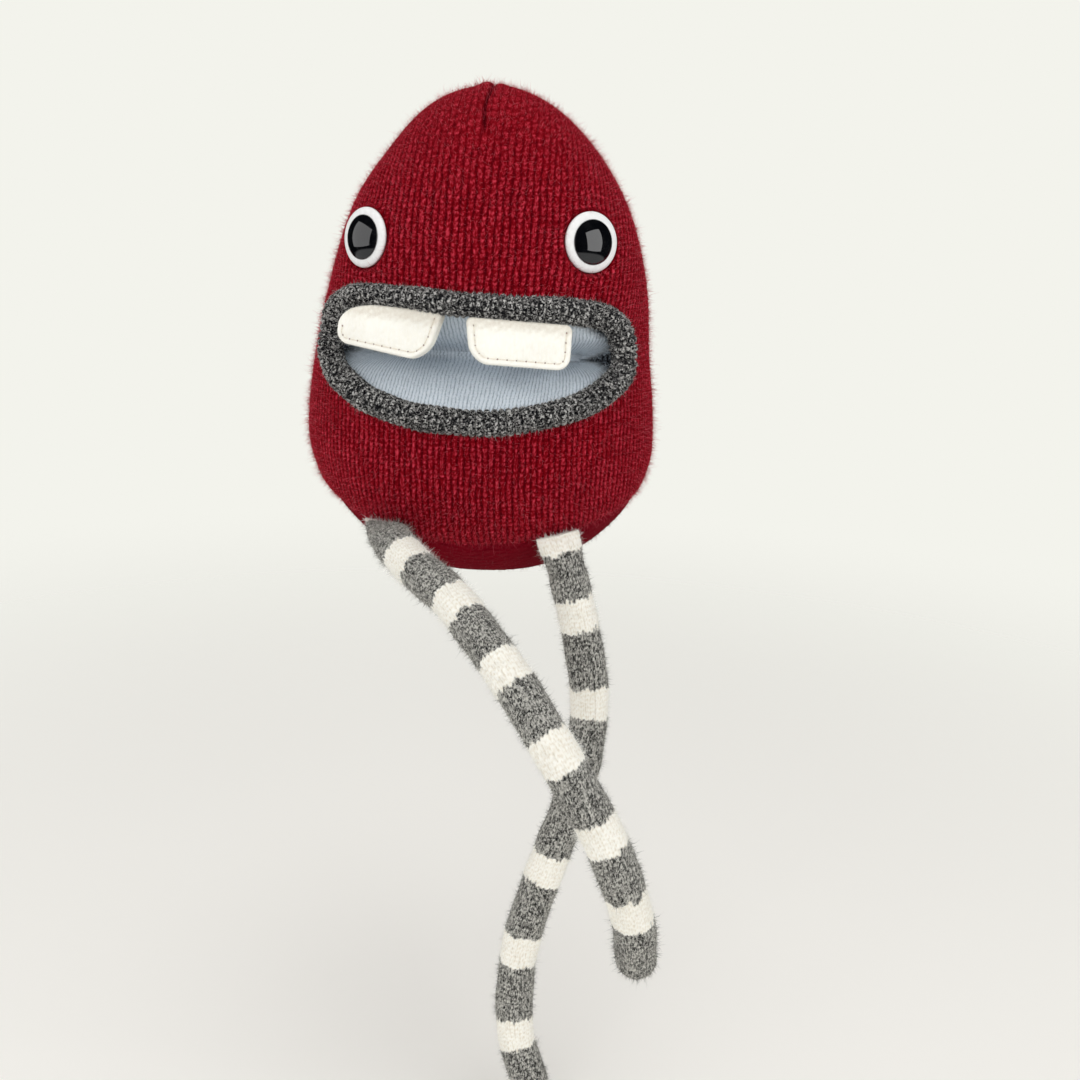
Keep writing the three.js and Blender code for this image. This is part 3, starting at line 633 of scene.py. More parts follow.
def body_panel(side, context):
    """Half of the body as a flat knit wrapped on it: wales run straight up beside the middle one, an arc
    apart, and end at the side seam. Courses are even along the middle. Returns the grid and what lies
    where."""
    scene = context.scene
    body, knit, mouth, eye = scene.plush_body, scene.plush_knit, scene.plush_mouth, scene.plush_eye
    per_wale, per_course = (6, 4) if side < 0 else (4, 3)
    turns, arcs = quarter_arc(body)
    column = knit.wale / per_wale
    half = math.ceil(arcs[-1] / column)
    across = np.arange(-half, half + 1) * column
    heights = body.height - (body.height - body.seam_front) * np.linspace(1, 0, 4001) ** 2
    out = body.depth / 2 * body_share(heights, body)
    run = length_along(np.stack([heights, out], -1))
    rows = math.ceil(run[-1] / knit.course * per_course)
    climb = np.linspace(0, run[-1], rows)
    z_row = np.interp(climb, run, heights)
    lowest = np.full(len(across), body.seam_front)
    for _ in range(SETTLE):
        share = body_share(lowest, body)
        bound = np.clip(np.abs(across), 0, share * arcs[-1]) / share
        lowest = seam_height(body.width / 2 * share * np.sin(np.interp(bound, arcs, turns)), body)
    z = np.maximum(z_row[:, None], lowest[None])
    share = np.maximum(body_share(z, body), 1e-9)
    arc = np.clip(across[None], -share * arcs[-1], share * arcs[-1])
    turn = np.sign(arc) * np.interp(np.abs(arc) / share, arcs, turns)
    apex = share < 1e-6
    turn = np.where(apex, 0, turn)
    arc = np.where(apex, 0, arc)
    wale = across[None] / knit.wale + 0 * z
    course = climb[:, None] / knit.course + 0 * z
    return {
        "z": z, "turn": turn, "arc": arc, "wale": wale, "course": course,
        "side_gap": share * arcs[-1] - np.abs(arc), "base_gap": z - lowest[None],
        "size": z.shape, "settings": (body, knit, mouth, eye),
    }


def panel_surface(side, context):
    """The panel's points: the body moved along its normals by the stitches, which are drawn closer below the
    mouth and worn towards the crown, by slow lumps and by a bulge on each side. Seams, dart and eyes draw
    it in, and the colour gets a painted shade along the dart and round the eyes."""
    grid = body_panel(side, context)
    body, knit, mouth, eye = grid["settings"]
    z, arc = grid["z"], grid["arc"]
    turn = grid["turn"] if side < 0 else math.pi - grid["turn"]
    base = body_point(turn, z, body)
    normals = body_normal(turn, z, body)
    drawn = 1.14 - 0.16 * smooth(z, 55 * MM, 100 * MM)
    wale = grid["wale"] * drawn + 0.1 * wander(base, 11 * MM, 5) + 0.11 * wander(base, 3 * MM, 15)
    course = grid["course"] + 0.3 * wander(base, 12 * MM, 6) + 0.25 * wander(base, 3 * MM, 16)
    fall = body.height - z
    worn = 0.25 + 0.75 * smooth(fall, 6 * MM, 34 * MM)
    relief = stitches(wale, course, 0.15, 0.25, 0.5) ** 1.5
    relief = 0.66 + (relief - 0.66) * (0.15 + 0.85 * worn)
    relief = np.clip(relief + 0.13 * wander(base, 2.2 * MM, 17), 0, 1)
    swell = knit.relief * worn * (relief - 1) + body.lumps * wander(base, 34 * MM, 7)
    for name, (height, tall, hollow_height, hollow_tall, hollow) in BULGES.items():
        bulge = bell(z - height * MM, tall * MM) - hollow * bell(z - hollow_height * MM, hollow_tall * MM)
        swell += getattr(body, f"{name}_bulge") * smooth(SIDES[name] * np.sin(turn), 0.25, 1) * bulge
    edge = np.minimum(grid["side_gap"], grid["base_gap"])
    swell += body.seam_depth * (0.35 * bell(edge - 4.5 * MM, 2.6 * MM) - bell(edge, 1.3 * MM))
    fade = 1 - smooth(fall, 0.7 * body.dart_drop, 1.05 * body.dart_drop)
    line = arc - 0.4 * MM * (1 + np.cos(TURN * fall / (12 * MM)))
    dart = fade * bell(line, 0.42 * MM)
    lobe = np.where(line < 0, 0.85, 0.45) * MM
    swell += fade * lobe * bell(np.abs(line) - 2.4 * MM, 2.2 * MM) - body.dart_depth * dart
    # Painted shade: the colour darkens along the dart's crease
    shade = relief * (1 - dart)
    if side < 0:
        for eye_side in SIDES.values():
            place, _, _, out = eye_frame(eye_side, body, mouth, eye)
            offset = base - place
            above = offset @ out
            reach = np.linalg.norm(offset - above[..., None] * out, axis=-1)
            pressed = 1 - smooth(reach, eye.white / 2 - EYE_INSIDE, eye.white / 2 + EYE_OUTSIDE)
            pressed = pressed * (above > -eye.white)
            level = (-EYE_SEAT - above) / np.maximum(normals @ out, 0.5)
            swell = swell * (1 - pressed) + level * pressed
            # Painted shade: the knit's colour darkens round and under each eye disc
            shade = shade * (1 - 0.3 * pressed)
    points = base + normals * swell[..., None]
    return grid, points.reshape(-1, 3), normals.reshape(-1, 3), shade.ravel()


def mouth_cut(grid, points, quads, mouth, body):
    """Quads outside the mouth's outline, and points whose cut corners are drawn onto the outline."""
    across, up, reach = mouth_shares(grid["turn"].ravel(), grid["z"].ravel(), mouth)
    outside = reach[quads].mean(1) > 1
    kept = quads[outside]
    rim = np.intersect1d(kept, quads[~outside])
    across, up = across[rim] / reach[rim], up[rim] / reach[rim]
    z = mouth.height + up * np.where(up > 0, mouth.rise - mouth.skew * across, mouth.drop)
    points = points.copy()
    points[rim] = body_point(mouth.half_angle * across, z, body)
    return kept, points


# Materials

def add(tree, kind, sockets=None, **settings):
    """A node with its settings, whose sockets are linked or set."""
    made = tree.nodes.new(kind)
    for key, value in settings.items():
        setattr(made, key, value)
    for key, value in (sockets or {}).items():
        if isinstance(value, bpy.types.NodeSocket):
            tree.links.new(value, made.inputs[key])
        else:
            made.inputs[key].default_value = value
    return made


def rgba(values):
    return (*values, 1)


def yarn_group(name, colours, values):
    """An empty shader group for yarn: a place, named colours and values go in, a colour and a height come
    out. Returns its tree and the sockets of its input and output nodes."""
    tree = bpy.data.node_groups.new(name, "ShaderNodeTree")
    inputs = {"Place": "NodeSocketVector"}
    inputs |= {key: "NodeSocketColor" for key in colours} | {key: "NodeSocketFloat" for key in values}
    outputs = {"Color": "NodeSocketColor", "Height": "NodeSocketFloat"}
    for way, sockets in (("INPUT", inputs), ("OUTPUT", outputs)):
        for key, kind in sockets.items():
            tree.interface.new_socket(key, in_out=way, socket_type=kind)
    return tree, tree.nodes.new("NodeGroupInput").outputs, tree.nodes.new("NodeGroupOutput").inputs


def group_node(tree, group, sockets):
    return add(tree, "ShaderNodeGroup", sockets, node_tree=group).outputs


def ramp(tree, value, low, high):
    """A value from low to high as 0 to 1, with soft ends."""
    sockets = {"Value": value, "From Min": low, "From Max": high}
    return add(tree, "ShaderNodeMapRange", sockets, interpolation_type="SMOOTHSTEP").outputs["Result"]


def ramp_to(tree, value, low, high):
    """A noise value as a number between low and high."""
    sockets = {"Value": value, "From Min": 0.3, "From Max": 0.75, "To Min": low, "To Max": high}
    return add(tree, "ShaderNodeMapRange", sockets).outputs["Result"]


def mixed(tree, share, first, second):
    """Two colours mixed by a share. A Mix node's colours are its sockets 6 and 7, and come out of
    socket 2."""
    return add(tree, "ShaderNodeMix", {0: share, 6: first, 7: second}, data_type="RGBA").outputs[2]


def noise(tree, place, scale, detail=3.0, roughness=0.55):
    sockets = {"Vector": place, "Scale": scale, "Detail": detail, "Roughness": roughness}
    return add(tree, "ShaderNodeTexNoise", sockets).outputs["Fac"]


def product(tree, first, second):
    return add(tree, "ShaderNodeMath", {0: first, 1: second}, operation="MULTIPLY").outputs[0]


def total(tree, first, second):
    return add(tree, "ShaderNodeMath", {0: first, 1: second}, operation="ADD").outputs[0]


def drawn_out(tree, place, share):
    """A place with its height scaled by a share, so that a pattern on it is drawn out upwards."""
    return add(tree, "ShaderNodeVectorMath", {0: place, 1: (1, 1, share)}, operation="MULTIPLY").outputs[0]


def felted_group():
    """Felted yarn: painted shade in the grooves, the yarn's colour on the ridges, broken up by fine grain,
    with paler fluff in short upright strands on the ridges, partly real fluff and partly a painted highlight.
    Slow patches darken it a little."""
    if "Felted yarn" in bpy.data.node_groups:
        return bpy.data.node_groups["Felted yarn"]
    tree, given, result = yarn_group(
        "Felted yarn", ("Yarn", "Shade", "Fluff"), ("Relief", "Fluffiness", "Grain")
    )
    fine = noise(tree, given["Place"], given["Grain"], 4.0, 0.7)
    upright = drawn_out(tree, given["Place"], 0.22)
    strands = noise(tree, upright, total(tree, given["Grain"], 500.0), 3.0, 0.6)
    patches = ramp(tree, noise(tree, given["Place"], 80.0, 2.0), 0.35, 0.7)
    broken = total(tree, given["Relief"], add(tree, "ShaderNodeMapRange", {
        "Value": fine, "From Min": 0.3, "From Max": 0.7, "To Min": -0.1, "To Max": 0.1,
    }).outputs["Result"])
    # Painted shade: the grooves take the shade colour and the ridges the yarn's
    tone = mixed(tree, ramp(tree, broken, 0.18, 0.85), given["Shade"], given["Yarn"])
    tone = mixed(tree, product(tree, patches, 0.2), tone, given["Shade"])
    # Paler fluff on the ridges: partly real fluff, partly a painted highlight
    lifted = product(tree, ramp(tree, strands, 0.38, 0.62), ramp(tree, broken, 0.55, 0.95))
    tone = mixed(tree, product(tree, lifted, given["Fluffiness"]), tone, given["Fluff"])
    tree.links.new(tone, result["Color"])
    tree.links.new(total(tree, fine, strands), result["Height"])
    return tree


def marled_group():
    """Marled yarn: ragged cells of wool, each as dark or as light as chance has it, with painted shade in the
    grooves.
    """
    if "Marled yarn" in bpy.data.node_groups:
        return bpy.data.node_groups["Marled yarn"]
    tree, given, result = yarn_group("Marled yarn", ("Dark", "Light"), ("Relief", "Grain", "Balance"))
    place, grain = given["Place"], given["Grain"]
    drift = add(tree, "ShaderNodeTexNoise", {"Vector": place, "Scale": grain, "Detail": 2.0}).outputs["Color"]
    drift = add(tree, "ShaderNodeVectorMath", {0: drift, 1: (MM, MM, MM)}, operation="MULTIPLY").outputs[0]
    ragged = add(tree, "ShaderNodeVectorMath", {0: place, 1: drift}, operation="ADD").outputs[0]
    cell = add(tree, "ShaderNodeTexVoronoi", {"Vector": ragged, "Scale": grain}).outputs["Color"]
    chance = add(tree, "ShaderNodeSeparateXYZ", {"Vector": cell}).outputs["X"]
    fine = noise(tree, place, product(tree, grain, 1.7), 3.0, 0.7)
    both = total(tree, product(tree, chance, 0.5), fine)
    pale = ramp(tree, total(tree, both, given["Balance"]), 0.64, 0.86)
    tone = mixed(tree, pale, given["Dark"], given["Light"])
    # Painted shade in the grooves: mixed towards the dark ply where the relief is low
    groove = mixed(tree, 0.8, tone, given["Dark"])
    tone = mixed(tree, ramp(tree, given["Relief"], 0.2, 0.85), groove, tone)
    tree.links.new(tone, result["Color"])
    tree.links.new(both, result["Height"])
    return tree


def start_material(name, roughness, sheen=None, sheen_weight=0.0):
    """A material with its Principled node, Object coordinates, and an even sheen and roughness."""
    material = bpy.data.materials.new(name)
    material.use_nodes = True
    tree = material.node_tree
    shader = tree.nodes["Principled BSDF"]
    shader.inputs["Roughness"].default_value = roughness
    shader.inputs["Specular IOR Level"].default_value = 0.04
    if sheen is not None:
        shader.inputs["Sheen Weight"].default_value = sheen_weight
        shader.inputs["Sheen Roughness"].default_value = 0.45
        shader.inputs["Sheen Tint"].default_value = rgba(sheen)
    place = add(tree, "ShaderNodeTexCoord").outputs["Object"]
    return material, tree, shader, place


def attribute(tree, name):
    return add(tree, "ShaderNodeAttribute", attribute_name=name).outputs["Fac"]


def bumped(tree, shader, height, strength, distance):
    bump = add(tree, "ShaderNodeBump", {"Height": height, "Strength": strength, "Distance": distance})
    tree.links.new(bump.outputs["Normal"], shader.inputs["Normal"])


def felted_material(name, yarn, shade, fluff, fluffiness, sheen_weight):
    """Felted wool from the felted yarn group."""
    material, tree, shader, place = start_material(name, WOOL_ROUGHNESS, fluff, sheen_weight)
    yarns = group_node(tree, felted_group(), {
        "Place": place, "Yarn": rgba(yarn), "Shade": rgba(shade), "Fluff": rgba(fluff),
        "Relief": attribute(tree, "relief"), "Fluffiness": fluffiness, "Grain": 1500.0,
    })
    tree.links.new(yarns["Color"], shader.inputs["Base Color"])
    bumped(tree, shader, yarns["Height"], 0.5, 0.25 * MM)
    return material


def fibre_materials(name, *tones):
    """Plain wool for loose fibres, in a few tones."""
    made = []
    for index, tone in enumerate(tones):
        material, _, shader, _ = start_material(f"{name} {index + 1}", 0.8, tone, 0.3)
        shader.inputs["Base Color"].default_value = rgba(tone)
        made.append(material)
    return made


def between(first, second, share):
    """A colour part of the way from one to another."""
    return tuple(np.array(first) * (1 - share) + np.array(second) * share)


def lighter(values, share):
    """A colour part of the way to white."""
    return between(values, (1, 1, 1), share)


# Operators

def finish_piece(piece, body_name, nodes=()):
    """Rides a piece on its body, and hides the packed parts that it stands for."""
    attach(piece, body_name)
    if nodes:
        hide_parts(*nodes)


class PlushBuilder:
    """What the operators share."""

    bl_options = {"REGISTER", "UNDO"}


class PLUSH_OT_body_panels(PlushBuilder, bpy.types.Operator):
    """Knit the front and back panels of the body"""

    bl_idname = "plush.body_panels"
    bl_label = "Body panels"

    def execute(self, context):
        body, knit, mouth = context.scene.plush_body, context.scene.plush_knit, context.scene.plush_mouth
        eye = context.scene.plush_eye
        red = felted_material("Red felted knit", body.red, body.red_shade, body.red_fluff, 0.9, 0.24)
        tones = [between(body.red, body.red_fluff, share) for share in (0.3, 0.7)]
        tones = fibre_materials("Red fibre", *tones, lighter(body.red_fluff, 0.07))
        ring = body_point(*outline_place(even_turns(400, mouth, body)[0], mouth), body)
        eyes = [eye_frame(side, body, mouth, eye)[0] for side in SIDES.values()]

        def free(roots):
            clear = nearest(roots, ring) > mouth.lip / 2 - 0.6 * MM
            return clear & (nearest(roots, np.array(eyes)) > eye.white / 2 + 0.5 * MM)

        panels = (("front", -1, ("front_panel", "body_stuffing")), ("back", 1, ("back_panel",)))
        for name, side, nodes in panels:
            grid, points, normals, shade = panel_surface(side, context)
            rows, columns = grid["size"]
            quads = grid_faces(rows, columns)
            if side < 0:
                quads, points = mouth_cut(grid, points, quads, mouth, body)
            else:
                quads = quads[:, ::-1]
            panel = sheet_object(
                f"{name}_panel_knit", points, normals, quads, body.thickness, red,
                {"relief": shade}, grid_map(rows, columns),
            )
            finish_piece(panel, "body", nodes)
            fluffed(
                f"{name}_panel", (points, normals, quads), knit.body_fibres, 1.0, knit,
                tones, np.random.default_rng(11 + side), "body", free,
            )
        return {"FINISHED"}


class PLUSH_OT_base_panel(PlushBuilder, bpy.types.Operator):
    """Felt the dished base that the body sits on"""

    bl_idname = "plush.base_panel"
    bl_label = "Base panel"

    def execute(self, context):
        body, knit = context.scene.plush_body, context.scene.plush_knit
        columns, side_rows, flat_rows = 360, 40, 30
        turn = np.arange(columns) / columns * TURN
        top = seam_at(turn, body)
        fall = np.linspace(1, 0, side_rows)[:, None]
        z = fall * top[None]
        wall = body_point(turn[None] + 0 * z, z, body)
        out = body_normal(turn[None] + 0 * z, z, body)
        flat = wall[-1][None] * np.linspace(1, 0, flat_rows + 1)[1:, None, None]
        points = np.concatenate([wall, flat])
        down = np.broadcast_to(np.array([0, 0, -1.0]), flat.shape)
        normals = np.concatenate([out, down])
        gap = np.concatenate([top[None] - z, np.broadcast_to(top, flat.shape[:2])])
        nap = wander(points, 1.6 * MM, 9)
        swell = -body.seam_depth * bell(gap, 1.5 * MM) + 0.2 * body.lumps * wander(points, 30 * MM, 8)
        swell -= 0.12 * MM * (1 + nap)
        swell = np.where(points[..., 2] < 1e-6, np.minimum(swell, 0) * 0.5, swell)
        relief = 0.72 + 0.2 * nap
        points = (points + normals * swell[..., None]).reshape(-1, 3)
        normals = normals.reshape(-1, 3)
        rows = side_rows + flat_rows
        quads = grid_faces(rows, columns, True)[:, ::-1]
        fluff = lighter(body.base_red, 0.03)
        felt = felted_material("Magenta felt", body.base_red, body.base_shade, fluff, 0.35, 0.04)
        panel = sheet_object(
            "base_panel_felt", points, normals, quads, body.thickness, felt,
            {"relief": relief.ravel()}, grid_map(rows, columns),
        )
        finish_piece(panel, "body", ("base_panel",))
        cloth = (points, normals, quads[quads.max(1) < side_rows * columns])
        tones = fibre_materials("Base fibre", body.base_red, lighter(body.base_red, 0.05))
        rng = np.random.default_rng(21)
        fluffed("base_panel", cloth, knit.base_fibres, 0.6, knit, tones, rng, "body")
        return {"FINISHED"}


class PLUSH_OT_lip(PlushBuilder, bpy.types.Operator):
    """Roll the ribbed lip round the mouth"""

    bl_idname = "plush.lip"
    bl_label = "Lip"

    def execute(self, context):
        body, knit, mouth = context.scene.plush_body, context.scene.plush_knit, context.scene.plush_mouth
        tooth = context.scene.plush_tooth
        per_wale, per_course = 7, 4
        whole = even_turns(2, mouth, body)[1]
        ribs = round(whole / knit.lip_wale)
        steps = ribs * per_wale
        turns = even_turns(steps, mouth, body)[0]
        places = outline_place(turns, mouth)
        line = body_point(*places, body)
        along = unit(np.roll(line, -3, 0) - np.roll(line, 3, 0))
        aside = unit(np.cross(along, body_normal(*places, body)))
        face = np.cross(aside, along)
        courses = round(math.pi * mouth.lip / knit.lip_course)
        sides = courses * per_course
        around = np.arange(sides) / sides * TURN
        spread = np.cos(around)[:, None] * aside[:, None] + np.sin(around)[:, None] * face[:, None]
        base = line[:, None] + mouth.lip / 2 * spread
        wale = np.arange(steps)[:, None] / per_wale + 0.08 * wander(base, 7 * MM, 31)
        course = np.arange(sides)[None] / per_course + 0.3 * wander(base, 9 * MM, 32)
        relief = stitches(wale, course, 0.1, 0.25)
        relief = np.clip(relief + 0.12 * wander(base, 1.6 * MM, 34), 0, 1)
        swell = knit.lip_relief * (relief - 0.75) + 0.3 * MM * wander(base, 14 * MM, 33)
        above = (np.sin(turns) > 0) * bell(places[0] - tooth.left_place, math.radians(22))
        swell -= mouth.squeeze * above[:, None] * np.clip(-np.cos(around), 0, 1)[None]
        points = (base + spread * swell[..., None]).reshape(-1, 3)
        normals = spread.reshape(-1, 3)
        quads = grid_faces(steps + 1, sides, True) % (steps * sides)
        lip = new_object(
            "lip_rib", points, quads, self.rib(mouth), {"relief": relief.ravel()}, grid_map(steps, sides)
        )
        finish_piece(lip, "body", ("lip_band",))
        seen = quads[np.sin(np.arange(len(quads)) % sides / sides * TURN) > -0.5]
        tones = [between(mouth.lip_dark, mouth.lip_light, share) for share in (0, 0.5, 1)]
        fluffed(
            "lip", (points, normals, seen), knit.lip_fibres, 0.55, knit,
            fibre_materials("Lip fibre", *tones), np.random.default_rng(35), "body",
        )
        return {"FINISHED"}

    def rib(self, mouth):
        """Dark and light plies, flecked at random."""
        material, tree, shader, place = start_material("Marled rib", WOOL_ROUGHNESS, mouth.lip_light, 0.3)
        yarn = group_node(tree, marled_group(), {
            "Place": place, "Dark": rgba(mouth.lip_dark), "Light": rgba(mouth.lip_light),
            "Relief": attribute(tree, "relief"), "Grain": 2000.0, "Balance": -0.13,
        })
        tree.links.new(yarn["Color"], shader.inputs["Base Color"])
        bumped(tree, shader, yarn["Height"], 0.6, 0.3 * MM)
        return material


class PLUSH_OT_lining(PlushBuilder, bpy.types.Operator):
    """Line the mouth's pocket, from the lip to the crease at its back"""

    bl_idname = "plush.lining"
    bl_label = "Mouth lining"

    def execute(self, context):
        body, knit, mouth = context.scene.plush_body, context.scene.plush_knit, context.scene.plush_mouth
        per_wale, per_course = 5, 3
        whole = even_turns(2, mouth, body)[1]
        wales = round(whole / knit.lining_wale / 2)
        columns = wales * per_wale
        turns = even_turns(2 * columns, mouth, body)[0]
        depth_run = body.depth / 2 - mouth.crease_setback
        rows = round(depth_run / knit.lining_course) * per_course
        depth = np.linspace(0, 1, rows)[:, None]
        arch = np.sin(math.pi * depth)
        crease = mouth.height - mouth.crease_drop
        fabric = self.fabric(mouth)
        tones = fibre_materials("Lining fibre", mouth.lining_shade, lighter(mouth.lining, 0.4))
        for name, first in (("roof", 0), ("floor", columns)):
            chosen = np.append(turns, TURN)[first:first + columns + 1]
            up = mouth_outline(chosen, mouth)[1]
            start = body_point(*outline_place(chosen, mouth), body)
            drawn = np.tanh(start[:, 0] / mouth.crease_half_width)
            drawn *= mouth.crease_half_width / np.abs(drawn).max()
            gape = np.minimum(1, (1 - depth) / 0.04)
            back_z = crease + mouth.crease_half_gape * up[None] * gape
            back = np.stack([drawn[None] + 0 * depth, -mouth.crease_setback + 0 * back_z, back_z], -1)
            base = start[None] * (1 - depth[..., None]) + back * depth[..., None]
            end = drawn / mouth.crease_half_width
            base[..., 2] -= mouth.swell * arch * up[None]
            base[..., 0] += mouth.corner * arch * end[None] ** 7
            normals = unit(np.cross(np.gradient(base, axis=0), np.gradient(base, axis=1)))
            wale = np.arange(columns + 1)[None] / per_wale + 0.14 * wander(base, 8 * MM, 41)
            wale = wale + 0.12 * wander(base, 2.5 * MM, 45)
            course = np.arange(rows)[:, None] / per_course + 0.25 * wander(base, 8 * MM, 42)
            relief = stitches(wale, course, 0, 0.2)
            swell = knit.lining_relief * (relief - 0.8) + 0.5 * MM * wander(base, 16 * MM, 43) * arch
            points = (base + normals * swell[..., None]).reshape(-1, 3)
            normals = normals.reshape(-1, 3)
            quads = grid_faces(rows, columns + 1)[:, ::-1]
            # The dark marl stands for the lip's yarn turned in and also for painted shade in the pocket's
            # corners, widest at the right
            edge = mouth.turned * np.where(end > 0, 1, 0.7) * end ** 6
            inward = np.linalg.norm(base - start[None], axis=-1) + 0.8 * MM * wander(base, 3 * MM, 44)
            turned = 1 - smooth(inward - edge[None], -4 * MM, 3 * MM)
            sheet = sheet_object(
                f"mouth_{name}_knit", points, normals, quads, mouth.lining_thickness, fabric,
                {"relief": relief.ravel(), "turned": turned.ravel()}, grid_map(rows, columns + 1),
            )
            finish_piece(sheet, "body", (f"mouth_{name}_lining",))
            fluffed(
                f"mouth_{name}", (points, normals, quads), knit.lining_fibres, 0.35, knit,
                tones, np.random.default_rng(46), "body",
            )
        return {"FINISHED"}

    def fabric(self, mouth):
        """Pale knit, which gives way to dark marl at the corners: the lip's dark yarn turned in there, and
        painted shade in the pocket's corners.
        """
        material, tree, shader, place = start_material("Lining knit", WOOL_ROUGHNESS, mouth.lining, 0.1)
        relief = attribute(tree, "relief")
        knit = group_node(tree, felted_group(), {
            "Place": place, "Yarn": rgba(mouth.lining), "Shade": rgba(mouth.lining_shade),
            "Fluff": rgba(lighter(mouth.lining, 0.4)), "Relief": relief, "Fluffiness": 0.7, "Grain": 1300.0,
        })
        marl = group_node(tree, marled_group(), {
            "Place": place, "Dark": rgba(mouth.lip_dark), "Light": rgba(mouth.lining_shade),
            "Relief": relief, "Grain": 1700.0, "Balance": -0.15,
        })
        # Dark marl where the lip's yarn is turned in, partly a painted shade of the pocket's corners
        tone = mixed(tree, attribute(tree, "turned"), knit["Color"], marl["Color"])
        tree.links.new(tone, shader.inputs["Base Color"])
        bumped(tree, shader, knit["Height"], 0.5, 0.25 * MM)
        return material


def lathe(profile, sides):
    """Points and quads of a surface of revolution about the third axis, from radii and heights."""
    turn = np.arange(sides) / sides * TURN
    radius, height = profile[:, :1], profile[:, 1:]
    points = np.stack([radius * np.cos(turn), radius * np.sin(turn), height + 0 * turn], -1)
    return points.reshape(-1, 3), grid_faces(len(profile), sides, True)


def arc_profile(start, end, steps):
    """Points on a quarter of an oval that leaves the start along its height and meets the end flat."""
    turn = np.linspace(0, math.pi / 2, steps)
    start, end = np.array(start), np.array(end)
    return start + (end - start) * np.stack([1 - np.cos(turn), np.sin(turn)], -1)


def dome_profile(radius, low, high, steps):
    """Points on the arc of a circle from the rim of a dome to its top."""
    rise = high - low
    sphere = (radius ** 2 + rise ** 2) / (2 * rise)
    turn = np.linspace(math.asin(radius / sphere), 0, steps)
    return np.stack([sphere * np.sin(turn), high - sphere * (1 - np.cos(turn))], -1)


class PLUSH_OT_eyes(PlushBuilder, bpy.types.Operator):
    """Turn the white discs and the glossy black buttons of the eyes"""

    bl_idname = "plush.eyes"
    bl_label = "Eyes"

    def execute(self, context):
        scene = context.scene
        body, mouth, eye = scene.plush_body, scene.plush_mouth, scene.plush_eye
        white, button = self.profiles(eye)
        washer = self.washer()
        turned = (("white", white, self.satin(eye)), ("button", button, self.gloss(eye)))
        for name, side in SIDES.items():
            place, *axes = eye_frame(side, body, mouth, eye)
            for part, profile, material in turned:
                points, quads = lathe(profile, EYE_SIDES)
                joined, plain = welded(points, quads)
                piece = new_object(
                    f"eye_{name}_{part}_gloss", place + points @ np.stack(axes), joined, material,
                    None, grid_map(len(profile), EYE_SIDES), plain,
                )
                finish_piece(piece, "body", (f"eye_{name}_{part}",))
            inside = frame["nodes"][f"eye_{name}_washer"].data.materials
            inside.clear()
            inside.append(washer)
        return {"FINISHED"}

    def profiles(self, eye):
        """Half outlines of the white disc, which crowns towards a flat seat round its hole, and of the
        button, a shallow dome on its shank. Their edges are rounded by the button's edge."""
        back = -eye.sink
        seat = back + eye.white_crown
        hole = eye.shank / 2 + eye.clearance
        rim, pupil = eye.white / 2, eye.button / 2
        bead = eye.button_edge
        white = np.concatenate([
            [[hole, back], [rim - 3 * bead, back]],
            arc_profile((rim - 3 * bead, back), (rim, back + 3 * bead), 6),
            arc_profile((rim, back + eye.white_edge), (pupil - 3 * bead, seat), 24),
            [[hole, seat], [hole, back]],
        ])
        under = seat + 0.2 * bead
        button = np.concatenate([
            [[0, under - eye.shank_length], [eye.shank / 2 - bead, under - eye.shank_length],
             [eye.shank / 2, under - eye.shank_length + bead], [eye.shank / 2, under], [pupil - bead, under]],
            arc_profile((pupil - bead, under), (pupil, under + bead), 6),
            dome_profile(pupil, under + eye.button_edge, under + eye.button_crown, 28),
        ])
        return white, button

    def satin(self, eye):
        """White plastic, a little paler and rougher in specks."""
        material, tree, shader, place = start_material("White eye plastic", 0.32)
        shader.inputs["Specular IOR Level"].default_value = 0.5
        speck = noise(tree, place, 900.0, 4.0, 0.6)
        pale = rgba(lighter(eye.white_colour, 0.4))
        tone = mixed(tree, ramp(tree, speck, 0.35, 0.75), rgba(eye.white_colour), pale)
        tree.links.new(tone, shader.inputs["Base Color"])
        tree.links.new(ramp_to(tree, speck, 0.26, 0.42), shader.inputs["Roughness"])
        bumped(tree, shader, noise(tree, place, 420.0, 2.0), 0.08, 0.3 * MM)
        return material

    def gloss(self, eye):
        """Black plastic with faint smears."""
        material, tree, shader, place = start_material("Black eye plastic", 0.05)
        shader.inputs["Specular IOR Level"].default_value = 1.0
        shader.inputs["IOR"].default_value = 1.7
        smear = noise(tree, place, 260.0, 5.0, 0.65)
        dull = rgba(lighter(eye.button_colour, 0.006))
        tone = mixed(tree, ramp(tree, smear, 0.4, 0.8), rgba(eye.button_colour), dull)
        tree.links.new(tone, shader.inputs["Base Color"])
        tree.links.new(ramp_to(tree, smear, 0.02, 0.08), shader.inputs["Roughness"])
        return material

    def washer(self):
        """Plain moulded plastic of the lock washers."""
        material, tree, shader, place = start_material("Washer plastic", 0.5)
        grain = noise(tree, place, 700.0, 3.0)
        tone = mixed(tree, grain, rgba(linear(206, 209, 212)), rgba(linear(230, 232, 234)))
        tree.links.new(tone, shader.inputs["Base Color"])
        tree.links.new(ramp_to(tree, grain, 0.4, 0.6), shader.inputs["Roughness"])
        return material


